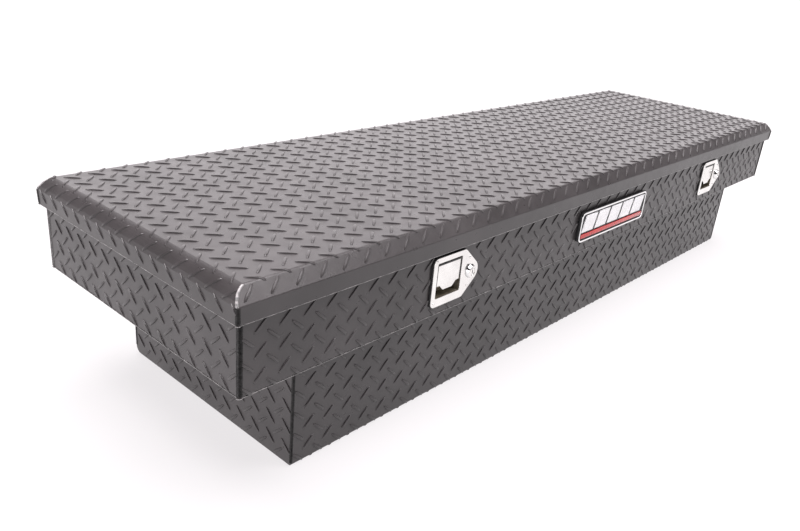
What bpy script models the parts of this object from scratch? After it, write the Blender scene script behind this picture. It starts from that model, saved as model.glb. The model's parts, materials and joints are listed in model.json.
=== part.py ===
"""Crossover truck tool box with a hinged lid, two paddle latches and two gas struts.

Frame: origin on the ground under the middle of the box, +X along the length, the
latched front face looks towards -Y, +Z is up. All sizes are metres.
"""

import math

import bmesh
import bpy
from mathutils import Matrix, Vector

# ---------------------------------------------------------------- driving dimensions
SHEET = 0.0016            # aluminium plate thickness
GAP = 0.0003              # air between pieces that touch on the real box
HALF_LENGTH = 0.880       # upper tub, end wall to end wall
HALF_DEPTH = 0.245        # upper tub, front wall to rear wall
LOWER_HALF_LENGTH = 0.765
LOWER_HALF_DEPTH = 0.210
WING_Z = 0.179            # underside of the wings and of the ledges
RIM_Z = 0.312             # top of the tub's inward rim flange
FLANGE = 0.018            # width of the rim flange
BEND = 0.003              # outer radius of the folded edges
TRAY_BENDS = (0.003, 0.012)    # the same along the foot of the lower body, front and rear
SEAL_Z = 0.3240           # top of the rubber seal on the rim flange

LID_HALF_LENGTH = 0.889
LID_HALF_DEPTH = 0.254
LID_TOP_Z = 0.328
LID_LIP_Z = 0.2835
BROW = 0.020              # drop of the slanted band round the lid, and its inset at the ends
SIDE_BROW = 0.0155        # its inset along the front and rear
LID_TUCK = 0.0012         # how far the ends and front of the lid draw in at the lip
END_ROUND = 0.030         # radius of the rolled edge on the ends
SIDE_BENDS = (0.004, 0.003)    # bend radii at the head and foot of the band, front and back

HINGE_Y = 0.2488
HINGE_Z = 0.2755
LID_TRAVEL = math.radians(75.0)
KNUCKLE_RADIUS = 0.0035
KNUCKLE_BORE = 0.0018
PIN_RADIUS = 0.0015
HINGE_HALF_LENGTH = 0.8625
KNUCKLES = 23
LEAF = 0.0012

# The lid leaf lies against the inside of the rear skirt, this far behind the pin.
LID_LEAF_Y = LID_HALF_DEPTH - SHEET - GAP - HINGE_Y
RIB_XS = {"lid_rib_left": -0.45, "lid_rib_middle": 0.0, "lid_rib_right": 0.45}
RIB_HALF_RUN = 0.195

LATCH_XS = {"left": -0.4975, "right": 0.4975}
LATCH_Z = 0.236
STRUT_X = 0.826
STRUT_FOOT = (0.195, 0.200)    # (y, z) of the lower strut pivot
STRUT_HEAD = (0.070, 0.303)    # (y, z) of the upper strut pivot, lid shut
STRUT_EAR = 0.0140             # from the strut's middle plane to a bracket's ear
STRUT_TUBE = 0.0090            # radius of the cylinder
STRUT_TUBE_BORE = 0.0043
STRUT_ROD = 0.0040             # radius of the rod
STRUT_STUD = 0.0030            # radius of the lower ball stud
STUD_ROOT = 0.0010             # how far a stud runs into its ear
BADGE_X = 0.0215
BADGE_Z = 0.2345


# ---------------------------------------------------------------- scene helpers
def clear_scene():
    for obj in list(bpy.data.objects):
        bpy.data.objects.remove(obj, do_unlink=True)


def collection(name):
    found = bpy.data.collections.new(name)
    bpy.context.scene.collection.children.link(found)
    return found


def finish(name, colour, roughness, metallic):
    mat = bpy.data.materials.new(name)
    mat.use_nodes = True
    shader = mat.node_tree.nodes["Principled BSDF"]
    shader.inputs["Base Color"].default_value = (*colour, 1.0)
    shader.inputs["Roughness"].default_value = roughness
    shader.inputs["Metallic"].default_value = metallic
    return mat


def anchor(name, at, parent=None):
    """An empty on a joint's axis or at an assembly's reference point."""
    empty = bpy.data.objects.new(name, None)
    PARTS.objects.link(empty)
    empty.empty_display_size = 0.02
    empty.parent = parent
    empty.location = at
    return empty


def piece(name, bm, mat, parent=None, at=(0.0, 0.0, 0.0), smooth=False):
    """Turn a bmesh into the sub-part NAME, at a place relative to its parent."""
    mesh = bpy.data.meshes.new(name)
    bm.to_mesh(mesh)
    bm.free()
    obj = bpy.data.objects.new(name, mesh)
    PARTS.objects.link(obj)
    mesh.materials.append(mat)
    if smooth:
        mesh.shade_smooth()
        mesh.set_sharp_from_angle(angle=math.radians(35.0))
    obj.parent = parent
    obj.location = at
    return obj


def hide_as_cutter(obj):
    obj.hide_render = True
    obj.display_type = "WIRE"
    for owner in list(obj.users_collection):
        owner.objects.unlink(obj)
    CUTTERS.objects.link(obj)


def boolean(obj, other, operation="DIFFERENCE"):
    """Cut or join OBJ with OTHER, which becomes a hidden cutter."""
    hide_as_cutter(other)
    modifier = obj.modifiers.new(other.name, "BOOLEAN")
    modifier.operation = operation
    modifier.object = other


# ---------------------------------------------------------------- shapes
def block(low, high):
    """A box between two corners."""
    bm = bmesh.new()
    bmesh.ops.create_cube(bm, size=1.0)
    low, high = Vector(low), Vector(high)
    bmesh.ops.scale(bm, vec=high - low, verts=bm.verts)
    bmesh.ops.translate(bm, vec=(low + high) / 2, verts=bm.verts)
    return bm


def bars(spans, y_span, z_span):
    """Boxes side by side along X, one mesh: used as a comb-shaped cutter."""
    bm = bmesh.new()
    for x0, x1 in spans:
        cube = bmesh.ops.create_cube(bm, size=1.0)["verts"]
        size = (x1 - x0, y_span[1] - y_span[0], z_span[1] - z_span[0])
        bmesh.ops.scale(bm, vec=size, verts=cube)
        centre = ((x0 + x1) / 2, sum(y_span) / 2, sum(z_span) / 2)
        bmesh.ops.translate(bm, vec=centre, verts=cube)
    return bm


def soften(bm, width, segments=2, chosen=None):
    """Bevel all edges, or the edges for which chosen(edge) is true."""
    edges = [edge for edge in bm.edges if chosen is None or chosen(edge)]
    bmesh.ops.bevel(bm, geom=edges, offset=width, segments=segments, profile=0.5,
                    affect="EDGES", clamp_overlap=True)
    return bm


def rod(start, end, radius, sides=16, tip_radius=None):
    """A cylinder or cone between two points."""
    start, end = Vector(start), Vector(end)
    run = end - start
    bm = bmesh.new()
    bmesh.ops.create_cone(bm, cap_ends=True, segments=sides, radius1=radius,
                          radius2=radius if tip_radius is None else tip_radius,
                          depth=run.length)
    turn = run.to_track_quat("Z", "Y").to_matrix().to_4x4()
    bmesh.ops.transform(bm, matrix=Matrix.Translation((start + end) / 2) @ turn, verts=bm.verts)
    return bm


def rounded_corners(corners, radii, steps=3, closed=False):
    """A polyline in the plane whose inner corners are arcs, of one radius or of a radius each."""
    points = []
    count = len(corners)
    for i, corner in enumerate(corners):
        here = Vector(corner)
        if not closed and i in (0, count - 1):
            points.append(here)
            continue
        back = (Vector(corners[i - 1]) - here).normalized()
        ahead = (Vector(corners[(i + 1) % count]) - here).normalized()
        half = back.angle(ahead) / 2
        radius = radii[i - 1] if isinstance(radii, tuple) else radii
        centre = here + (back + ahead).normalized() * (radius / math.sin(half))
        first = here + back * (radius / math.tan(half)) - centre
        last = here + ahead * (radius / math.tan(half)) - centre
        sweep = first.angle_signed(last)
        for k in range(steps + 1):
            points.append(centre + (Matrix.Rotation(-sweep * k / steps, 2) @ first))
    return points


def belt(discs, steps=48):
    """The outline of a belt stretched round discs (x, y, radius)."""
    points = []
    for k in range(steps):
        angle = 2 * math.pi * (k + 0.5) / steps
        way = Vector((math.cos(angle), math.sin(angle)))
        x, y, radius = max(discs, key=lambda disc: way.x * disc[0] + way.y * disc[1] + disc[2])
        points.append(Vector((x, y)) + way * radius)
    return points


def mesh_of_curve(curve):
    """The closed mesh that a curve with thickness makes."""
    holder = bpy.data.objects.new("holder", curve)
    CUTTERS.objects.link(holder)
    bpy.context.view_layer.update()
    solid = holder.evaluated_get(bpy.context.evaluated_depsgraph_get())
    mesh = bpy.data.meshes.new_from_object(solid)
    bm = bmesh.new()
    bm.from_mesh(mesh)
    bpy.data.objects.remove(holder)
    bpy.data.curves.remove(curve)
    bpy.data.meshes.remove(mesh)
    bmesh.ops.remove_doubles(bm, verts=bm.verts, dist=1e-6)
    bmesh.ops.recalc_face_normals(bm, faces=bm.faces)
    return bm


def wire(points, radius, bevel_resolution):
    """A round bar along a line of points."""
    curve = bpy.data.curves.new("wire", "CURVE")
    curve.dimensions = "3D"
    curve.bevel_depth = radius
    curve.bevel_resolution = bevel_resolution
    curve.use_fill_caps = True
    spline = curve.splines.new("POLY")
    spline.points.add(len(points) - 1)
    for point, place in zip(spline.points, points):
        point.co = (*place, 1.0)
    return mesh_of_curve(curve)


def flat_plate(outlines, low, high, normal="Y"):
    """A plate cut from flat outlines (the first outside, the rest holes).

    The outline's axes are X and Z for a plate facing Y, and Y and Z for one facing X.
    """
    curve = bpy.data.curves.new("outline", "CURVE")
    curve.dimensions = "2D"
    curve.fill_mode = "BOTH"
    curve.extrude = (high - low) / 2
    for outline in outlines:
        spline = curve.splines.new("POLY")
        spline.points.add(len(outline) - 1)
        for point, place in zip(spline.points, outline):
            point.co = (place[0], place[1], 0.0, 1.0)
        spline.use_cyclic_u = True
    bm = mesh_of_curve(curve)
    middle = (low + high) / 2
    if normal == "Y":
        turn = Matrix.Translation((0, middle, 0)) @ Matrix.Rotation(math.pi / 2, 4, "X")
    else:
        turn = (Matrix.Translation((middle, 0, 0)) @ Matrix.Rotation(math.pi / 2, 4, "Z")
                @ Matrix.Rotation(math.pi / 2, 4, "X"))
    bmesh.ops.transform(bm, matrix=turn, verts=bm.verts)
    bmesh.ops.recalc_face_normals(bm, faces=bm.faces)
    return bm


def swept(profile, low, high, along="X"):
    """An open surface: a profile of (across, z) points pushed along X or Y."""
    bm = bmesh.new()
    verts = []
    for across, z in profile:
        place = (low, across, z) if along == "X" else (across, low, z)
        verts.append(bm.verts.new(place))
    edges = [bm.edges.new(pair) for pair in zip(verts, verts[1:])]
    moved = bmesh.ops.extrude_edge_only(bm, edges=edges)["geom"]
    run = (high - low, 0, 0) if along == "X" else (0, high - low, 0)
    bmesh.ops.translate(bm, vec=run, verts=[g for g in moved if isinstance(g, bmesh.types.BMVert)])
    return bm


def face_away_from(bm, inside):
    """Point all faces of an open surface away from a point on its inner side."""
    inside = Vector(inside)
    bm.normal_update()
    lean = sum(f.calc_area() * f.normal.dot(f.calc_center_median() - inside) for f in bm.faces)
    if lean < 0:
        bmesh.ops.reverse_faces(bm, faces=bm.faces)
    return bm


def folded(name, corners, low, high, inside, mat, along="X", thickness=SHEET, bend=BEND, steps=3,
           parent=None):
    """Folded sheet metal: the corners lie on its outer surface."""
    profile = rounded_corners(corners, bend, steps)
    bm = face_away_from(swept(profile, low, high, along), inside)
    obj = piece(name, bm, mat, parent)
    solid = obj.modifiers.new("thickness", "SOLIDIFY")
    solid.thickness = thickness
    solid.offset = -1.0
    solid.use_even_offset = True
    return obj


def frame_ring(half_x, half_y, width, z0, z1, crown):
    """A rectangular ring lying flat, with its upper edges rounded by crown."""
    bm = bmesh.new()
    bmesh.ops.create_grid(bm, x_segments=1, y_segments=1, size=1.0)
    bmesh.ops.scale(bm, vec=(half_x, half_y, 1.0), verts=bm.verts)
    middle = list(bm.faces)
    bmesh.ops.inset_individual(bm, faces=middle, thickness=width)
    bmesh.ops.delete(bm, geom=middle, context="FACES")
    bmesh.ops.translate(bm, vec=(0, 0, z0), verts=bm.verts)
    top = bmesh.ops.extrude_face_region(bm, geom=list(bm.faces))["geom"]
    lifted = [g for g in top if isinstance(g, bmesh.types.BMVert)]
    bmesh.ops.translate(bm, vec=(0, 0, z1 - z0), verts=lifted)
    bmesh.ops.recalc_face_normals(bm, faces=bm.faces)
    level = z1 - GAP / 10

    def rounds(edge):
        high = all(v.co.z > level for v in edge.verts)
        return high and any(abs(f.normal.z) < 0.5 for f in edge.link_faces)

    return soften(bm, crown, 3, rounds)


# ---------------------------------------------------------------- tub
def build_tub(parent):
    """The lower body, its two ends, the ledge rails, the wings and the rim seal."""
    inner_x = HALF_LENGTH - SHEET - GAP
    tray_x = LOWER_HALF_LENGTH - SHEET - GAP
    wall_top = WING_Z - GAP

    corners = [(-LOWER_HALF_DEPTH, wall_top), (-LOWER_HALF_DEPTH, 0.0),
               (LOWER_HALF_DEPTH, 0.0), (LOWER_HALF_DEPTH, wall_top)]
    folded("lower_tray", corners, -tray_x, tray_x, (0, 0, WING_Z / 2), PLATE,
           bend=TRAY_BENDS, steps=5, parent=parent)

    # Between the ledges each end plate reaches up beside the wing's floor.
    ledge_inner = LOWER_HALF_DEPTH - SHEET
    tab = ledge_inner - GAP
    end_outline = rounded_corners(corners, TRAY_BENDS, 5)
    end_outline += [(tab, wall_top), (tab, WING_Z + SHEET), (-tab, WING_Z + SHEET), (-tab, wall_top)]
    for side, sign in SIDES:
        low, high = sorted((sign * (LOWER_HALF_LENGTH - SHEET), sign * LOWER_HALF_LENGTH))
        piece(f"lower_end_{side}", flat_plate([end_outline], low, high, "X"), PLATE, parent)

    for name, sign in (("front_rail", -1), ("rear_rail", 1)):
        corners = [(sign * ledge_inner, WING_Z), (sign * HALF_DEPTH, WING_Z),
                   (sign * HALF_DEPTH, RIM_Z), (sign * (HALF_DEPTH - FLANGE), RIM_Z)]
        inside = (0, sign * ledge_inner, (WING_Z + RIM_Z) / 2)
        rail = folded(name, corners, -inner_x, inner_x, inside, PLATE, parent=parent)
        if sign < 0:
            for side, latch_x in LATCH_XS.items():
                boolean(rail, latch_cutout(side, latch_x))

    for side, sign in SIDES:
        build_wing(side, sign, ledge_inner, parent)

    ring = frame_ring(HALF_LENGTH - 0.0130, HALF_DEPTH - 0.0115, 0.0090, RIM_Z + GAP, SEAL_Z, 0.0044)
    piece("rim_seal", ring, RUBBER, parent, smooth=True)


def build_wing(side, sign, ledge_inner, parent):
    """Floor, end wall and rim flange of one wing, folded from one sheet."""
    corners = [(sign * (LOWER_HALF_LENGTH + GAP), WING_Z), (sign * HALF_LENGTH, WING_Z),
               (sign * HALF_LENGTH, RIM_Z), (sign * (HALF_LENGTH - FLANGE), RIM_Z)]
    inside = (sign * LOWER_HALF_LENGTH, 0, (WING_Z + RIM_Z) / 2)
    wing = folded(f"wing_{side}", corners, -HALF_DEPTH, HALF_DEPTH, inside, PLATE, "Y", parent=parent)
    floor_half = ledge_inner - GAP
    flange_half = HALF_DEPTH - FLANGE - GAP
    bands = ((floor_half, WING_Z - 0.01, WING_Z + 0.03), (flange_half, RIM_Z - 0.03, RIM_Z + 0.01))
    near, far = sorted((sign * (LOWER_HALF_LENGTH - 0.01), sign * (HALF_LENGTH - SHEET)))
    for number, (half, z0, z1) in enumerate(bands):
        for face, y_sign in (("front", -1), ("rear", 1)):
            y0, y1 = sorted((y_sign * half, y_sign * (HALF_DEPTH + 0.01)))
            relief = piece(f"relief_{side}_{face}_{number}", block((near, y0, z0), (far, y1, z1)), PLATE)
            boolean(wing, relief)


def latch_cutout(side, latch_x):
    """The hole in the front wall for one latch: a window and the lock's round hole."""
    window = block((PAN_LEFT - PAN_WALL - 2 * GAP, -0.02, PAN_BOTTOM - PAN_WALL - 2 * GAP),
                   (PAN_RIGHT + PAN_WALL + 2 * GAP, 0.02, PAN_TOP + PAN_WALL + 2 * GAP))
    hole = rod((LOCK_X, -0.02, LOCK_Z), (LOCK_X, 0.02, LOCK_Z), LOCK_BODY + 2 * GAP, 24)
    mesh = bpy.data.meshes.new("hole")
    hole.to_mesh(mesh)
    hole.free()
    window.from_mesh(mesh)
    bpy.data.meshes.remove(mesh)
    return piece(f"window_{side}", window, PLATE, at=(latch_x, -HALF_DEPTH, LATCH_Z))


# ---------------------------------------------------------------- lid
def brow_inset(z, top_radius, low_radius):
    """Inset from the skirt at height z of the front and rear band, with rounded bends."""
    knee = LID_TOP_Z - BROW
    lean = math.atan2(SIDE_BROW, BROW)
    tangent_top = top_radius * math.tan((math.pi / 2 - lean) / 2)
    tangent_low = low_radius * math.tan(lean / 2)
    if z > LID_TOP_Z - top_radius * (1 - math.sin(lean)):
        turn = math.acos((z - LID_TOP_Z + top_radius) / top_radius)
        return SIDE_BROW + tangent_top - top_radius * math.sin(turn)
    rise = z - (knee - tangent_low)
    if rise > low_radius * math.sin(lean):
        return (z - knee) * SIDE_BROW / BROW
    if rise > 0:
        return low_radius - math.sqrt(low_radius ** 2 - rise ** 2)
    return LID_TUCK * rise / (LID_LIP_Z - knee + tangent_low)


def roll_inset(z):
    """Inset from the skirt at height z of a rolled edge, an arc as high and as wide as the band."""
    knee = LID_TOP_Z - BROW
    if z < knee:
        return LID_TUCK * (knee - z) / (knee - LID_LIP_Z)
    half_chord = BROW / math.sqrt(2)
    hub = BROW / 2 + math.sqrt((END_ROUND ** 2 - half_chord ** 2) / 2)
    return hub - math.sqrt(END_ROUND ** 2 - (z - knee + hub - BROW) ** 2)


def build_lid(parent, hinge):
    """The lid: a flat top, rolled over at the ends, with a slanted band along the front and rear."""
    drops = (0.0, 0.0004, 0.0009, 0.0016, 0.0029, 0.0047, 0.0071, 0.0102, 0.0142, 0.0191,
             0.0200, 0.0210)
    levels = [LID_TOP_Z - drop for drop in drops] + [LID_LIP_Z]
    bm = bmesh.new()
    bmesh.ops.create_grid(bm, x_segments=1, y_segments=1, size=1.0)

    def place(verts, z):
        for vert in verts:
            inset_end = roll_inset(z)
            inset_side = brow_inset(z, *SIDE_BENDS)
            if vert.co.y > 0 and z < LID_TOP_Z - BROW:
                inset_side = 0.0
            vert.co.x = math.copysign(LID_HALF_LENGTH - inset_end, vert.co.x)
            vert.co.y = math.copysign(LID_HALF_DEPTH - inset_side, vert.co.y)
            vert.co.z = z

    place(bm.verts, levels[0])
    for z in levels[1:]:
        rim = [edge for edge in bm.edges if edge.is_boundary]
        grown = bmesh.ops.extrude_edge_only(bm, edges=rim)["geom"]
        place([g for g in grown if isinstance(g, bmesh.types.BMVert)], z)
    face_away_from(bm, (0, 0, LID_LIP_Z))
    bmesh.ops.translate(bm, vec=(0, -HINGE_Y, -HINGE_Z), verts=bm.verts)
    lid = piece("lid_shell", bm, PLATE, hinge)
    solid = lid.modifiers.new("thickness", "SOLIDIFY")
    solid.thickness = SHEET
    solid.offset = -1.0
    solid.use_even_offset = True

    ceiling = LID_TOP_Z - SHEET - GAP - HINGE_Z
    for name, x in RIB_XS.items():
        corners = [(x - 0.036, ceiling), (x - 0.018, ceiling), (x - 0.013, ceiling - 0.015),
                   (x + 0.013, ceiling - 0.015), (x + 0.018, ceiling), (x + 0.036, ceiling)]
        folded(name, corners, -RIB_HALF_RUN - HINGE_Y, RIB_HALF_RUN - HINGE_Y,
               (x, -HINGE_Y, ceiling - 1.0), STEEL, "Y", LEAF, 0.0025, parent=hinge)

    for side, latch_x in LATCH_XS.items():
        build_striker(side, latch_x, ceiling, hinge)


def build_striker(side, latch_x, ceiling, hinge):
    """A loop of round bar under a small plate, which the latch hook holds."""
    middle_x = latch_x + HOOK_X
    bar_y = -HALF_DEPTH + STRIKER_Y - HINGE_Y
    bar_z = LATCH_Z + STRIKER_Z - HINGE_Z
    top = ceiling - 0.0015
    loop = rounded_corners([(middle_x - 0.011, top), (middle_x - 0.011, bar_z),
                            (middle_x + 0.011, bar_z), (middle_x + 0.011, top)], 0.0045)
    bar_line = [(x, bar_y, z) for x, z in loop]
    bar = piece(f"striker_loop_{side}", wire(bar_line, STRIKER_RADIUS, 2), STEEL, hinge)
    plate = soften(block((middle_x - 0.022, bar_y - 0.009, ceiling - 0.003),
                         (middle_x + 0.022, bar_y + 0.009, ceiling)), 0.0006, 1)
    striker = piece(f"striker_{side}", plate, STEEL, hinge)
    boolean(striker, bar, "UNION")


# ---------------------------------------------------------------- piano hinge
def build_hinge(parent, hinge):
    """Two leaves rolled into alternate knuckles round one long pin."""
    pitch = 2 * HINGE_HALF_LENGTH / KNUCKLES
    starts = [-HINGE_HALF_LENGTH + k * pitch for k in range(KNUCKLES)]
    reach = KNUCKLE_RADIUS + 0.0012
    leaves = (("hinge_tub_leaf", 0, parent, (0.0, HINGE_Y, HINGE_Z), -1, 0.0150),
              ("hinge_lid_leaf", 1, hinge, (0.0, 0.0, 0.0), 1, 0.0230))
    for name, missing, owner, at, side, height in leaves:
        outer = side * (KNUCKLE_RADIUS if side < 0 else LID_LEAF_Y)
        y0, y1 = sorted((outer, outer - side * LEAF))
        z0, z1 = sorted((0.0, side * height))
        half = HINGE_HALF_LENGTH
        leaf = piece(name, block((-half, y0, z0), (half, y1, z1)), STEEL, owner, at)
        tube = piece(f"{name}_roll", rod((-half, 0, 0), (half, 0, 0), KNUCKLE_RADIUS, 12), STEEL, owner, at)
        bore = piece(f"{name}_bore", rod((-1, 0, 0), (1, 0, 0), KNUCKLE_BORE, 12), STEEL, owner, at)
        spans = []
        for k, start in enumerate(starts):
            if k % 2 != missing:
                spans.append((start - 2 * GAP, start + pitch + 2 * GAP))
        comb = piece(f"{name}_comb", bars(spans, (-reach, reach), (-reach, reach)), STEEL, owner, at)
        boolean(leaf, tube, "UNION")
        boolean(leaf, bore)
        boolean(leaf, comb)
    pin = rod((-HINGE_HALF_LENGTH, 0, 0), (HINGE_HALF_LENGTH, 0, 0), PIN_RADIUS, 12)
    piece("hinge_pin", pin, STEEL, parent, (0.0, HINGE_Y, HINGE_Z), smooth=True)


# ---------------------------------------------------------------- paddle latches
# Places on a latch are (across, out of the wall, up) from the middle of its plate,
# on the wall's outer face: a negative second value stands out of the wall.
PLATE_DISCS = [(-0.0285, -0.0315, 0.009), (-0.0285, 0.0315, 0.009), (0.0340, -0.0315, 0.009),
               (0.0340, 0.0315, 0.009), (0.0535, -0.0010, 0.0195)]
GASKET_FACE = -0.0027
PLATE_BACK = GASKET_FACE - GAP
PLATE_FACE = PLATE_BACK - 0.0018
PAN_LEFT = -0.0285
PAN_RIGHT = 0.0300
PAN_BOTTOM = -0.0265
OPENING_TOP = 0.0320
OPENING_CORNER = 0.0025
PAN_TOP = 0.0350
PAN_FLOOR = 0.0130
PAN_WALL = 0.0012
LOCK_X = 0.0545
LOCK_Z = -0.0005
LOCK_BODY = 0.0085
LOCK_STAND = 0.0038       # how far the lock's collar stands off the plate
PLUG_RADIUS = 0.0060
PADDLE_AXIS = (0.0, 0.0050, 0.0280)
CRANK_REACH = 0.0080
HOOK_AXIS = (0.0, 0.0263, 0.0235)
HOOK_X = -0.0371          # middle plane of the crank, hook and striker
HOOK_HALF = 0.0025
STRIKER_Y = 0.0338
STRIKER_Z = 0.0540
STRIKER_RADIUS = 0.0030
SPRING_COIL = 0.0025
SPRING_WIRE = 0.0005
SPRING_TURNS = 4
SPRING_SIDES = 10         # straight runs in one turn of the coil
SPRING_RUN = 0.0100       # length of the coil along the paddle's pin


def build_latch(side, latch_x, parent):
    """One recessed paddle latch with its lock, hook and bracket."""
    plate_anchor = anchor(f"latch_{side}", (latch_x, -HALF_DEPTH, LATCH_Z), parent)
    build_dish(side, plate_anchor)
    build_lock(side, plate_anchor)
    build_paddle(side, plate_anchor)
    build_hook(side, plate_anchor)


def build_dish(side, parent):
    """The face plate and its pan in one pressing, and the gasket under the plate."""
    opening = rounded_corners([(PAN_LEFT, PAN_BOTTOM), (PAN_RIGHT, PAN_BOTTOM),
                               (PAN_RIGHT, OPENING_TOP), (PAN_LEFT, OPENING_TOP)],
                              OPENING_CORNER, 3, True)
    lock_hole = belt([(LOCK_X, LOCK_Z, LOCK_BODY + GAP)], 24)
    face = flat_plate([belt(PLATE_DISCS), opening, lock_hole], PLATE_FACE, PLATE_BACK)
    dish = piece(f"latch_dish_{side}", face, STAINLESS, parent)
    pan = block((PAN_LEFT - PAN_WALL, PLATE_BACK - 0.0005, PAN_BOTTOM - PAN_WALL),
                (PAN_RIGHT + PAN_WALL, PAN_FLOOR + PAN_WALL, PAN_TOP + PAN_WALL))
    boolean(dish, piece(f"pan_{side}", pan, STAINLESS, parent), "UNION")
    pocket = block((PAN_LEFT, PLATE_BACK, PAN_BOTTOM), (PAN_RIGHT, PAN_FLOOR, PAN_TOP))
    boolean(dish, piece(f"pocket_{side}", pocket, STAINLESS, parent))
    throat = flat_plate([opening], PLATE_FACE - 0.002, PLATE_BACK + 0.002)
    boolean(dish, piece(f"throat_{side}", throat, STAINLESS, parent))
    _, axis_y, axis_z = PADDLE_AXIS
    bore = rod((PAN_LEFT - 0.004, axis_y, axis_z), (PAN_RIGHT + 0.004, axis_y, axis_z), 0.0018, 12)
    boolean(dish, piece(f"pin_bore_{side}", bore, STAINLESS, parent))

    edge = 0.0009
    rubber = [(x, z, radius + edge) for x, z, radius in PLATE_DISCS]
    slack = PAN_WALL + 2 * GAP
    window = [(PAN_LEFT - slack, PAN_BOTTOM - slack), (PAN_RIGHT + slack, PAN_BOTTOM - slack),
              (PAN_RIGHT + slack, PAN_TOP + slack), (PAN_LEFT - slack, PAN_TOP + slack)]
    gasket = flat_plate([belt(rubber), window, belt([(LOCK_X, LOCK_Z, LOCK_BODY + 2 * GAP)], 24)],
                        GASKET_FACE, -GAP)
    piece(f"latch_gasket_{side}", gasket, RUBBER, parent)


def build_lock(side, parent):
    """A keyed cylinder through the nose of the plate, with its turning plug and cam."""
    face = PLATE_FACE - GAP
    barrel = rod((LOCK_X, face - LOCK_STAND, LOCK_Z), (LOCK_X, face, LOCK_Z), 0.0098, 32, 0.0115)
    shell = piece(f"lock_cylinder_{side}", barrel, CHROME, parent, smooth=True)
    body = rod((LOCK_X, face - 0.001, LOCK_Z), (LOCK_X, 0.0200, LOCK_Z), LOCK_BODY, 32)
    boolean(shell, piece(f"lock_body_{side}", body, CHROME, parent), "UNION")
    bore = rod((LOCK_X, face - 0.01, LOCK_Z), (LOCK_X, 0.03, LOCK_Z), PLUG_RADIUS + GAP, 24)
    boolean(shell, piece(f"lock_bore_{side}", bore, CHROME, parent))
    plug_anchor = anchor(f"lock_axis_{side}", (LOCK_X, 0.0, LOCK_Z), parent)
    plug = rod((0, face - LOCK_STAND + 0.0004, 0), (0, 0.0230, 0), PLUG_RADIUS, 24)
    piece(f"lock_plug_{side}", plug, CHROME, plug_anchor, smooth=True)
    lever = flat_plate([belt([(0, 0, 0.0080), (-0.0260, 0, 0.0050)], 32)], 0.0233, 0.0258)
    piece(f"lock_cam_{side}", lever, STEEL, plug_anchor)


def build_paddle(side, parent):
    """The pull paddle: a face plate with a finger lobe, hung from a rolled barrel."""
    axis = anchor(f"paddle_axis_{side}", PADDLE_AXIS, parent)
    left, right = PAN_LEFT + 0.0009, PAN_RIGHT - 0.0009
    middle = (left + right) / 2
    corner, shoulder, lobe = -0.0342, -0.0350, -0.0432
    outline = rounded_corners([(left, 0.0013), (left, corner), (middle - 0.019, shoulder),
                               (middle - 0.011, lobe), (middle + 0.011, lobe),
                               (middle + 0.019, shoulder), (right, corner), (right, 0.0013)],
                              0.0025, 3, True)
    face = piece(f"paddle_{side}", flat_plate([outline], -0.0084, -0.0068), STAINLESS, axis)
    web = block((left + 0.002, -0.0072, -0.0027), (right - 0.002, -0.0022, -0.0007))
    boolean(face, piece(f"paddle_web_{side}", web, STAINLESS, axis), "UNION")
    barrel = rod((left + 0.001, 0, 0), (right - 0.001, 0, 0), 0.0032, 16)
    boolean(face, piece(f"paddle_roll_{side}", barrel, STAINLESS, axis), "UNION")
    bore = rod((left - 0.01, 0, 0), (right + 0.01, 0, 0), 0.0018, 12)
    boolean(face, piece(f"paddle_bore_{side}", bore, STAINLESS, axis))

    pin_end = HOOK_X - HOOK_HALF - 0.0012
    coil_start = PAN_RIGHT + PAN_WALL + SPRING_WIRE + 2 * GAP
    pin = rod((pin_end, 0, 0), (coil_start + SPRING_RUN + 0.0015, 0, 0), PIN_RADIUS, 12)
    piece(f"paddle_pin_{side}", pin, STEEL, axis, smooth=True)
    build_spring(side, coil_start, axis)
    crank = flat_plate([belt([(0, 0, 0.0030), (CRANK_REACH, 0, 0.0020)], 32),
                        belt([(0, 0, 0.0018)], 12)], HOOK_X - HOOK_HALF, HOOK_X + HOOK_HALF, "X")
    piece(f"paddle_crank_{side}", crank, STEEL, axis)


def build_spring(side, start, axis):
    """The coil round the paddle's pin that shuts the paddle."""
    coil = []
    for k in range(SPRING_TURNS * SPRING_SIDES + 1):
        angle = 2 * math.pi * k / SPRING_SIDES
        x = start + SPRING_RUN * k / (SPRING_TURNS * SPRING_SIDES)
        coil.append((x, SPRING_COIL * math.cos(angle), SPRING_COIL * math.sin(angle)))
    piece(f"paddle_spring_{side}", wire(coil, SPRING_WIRE, 1), STEEL, axis, smooth=True)


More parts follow.
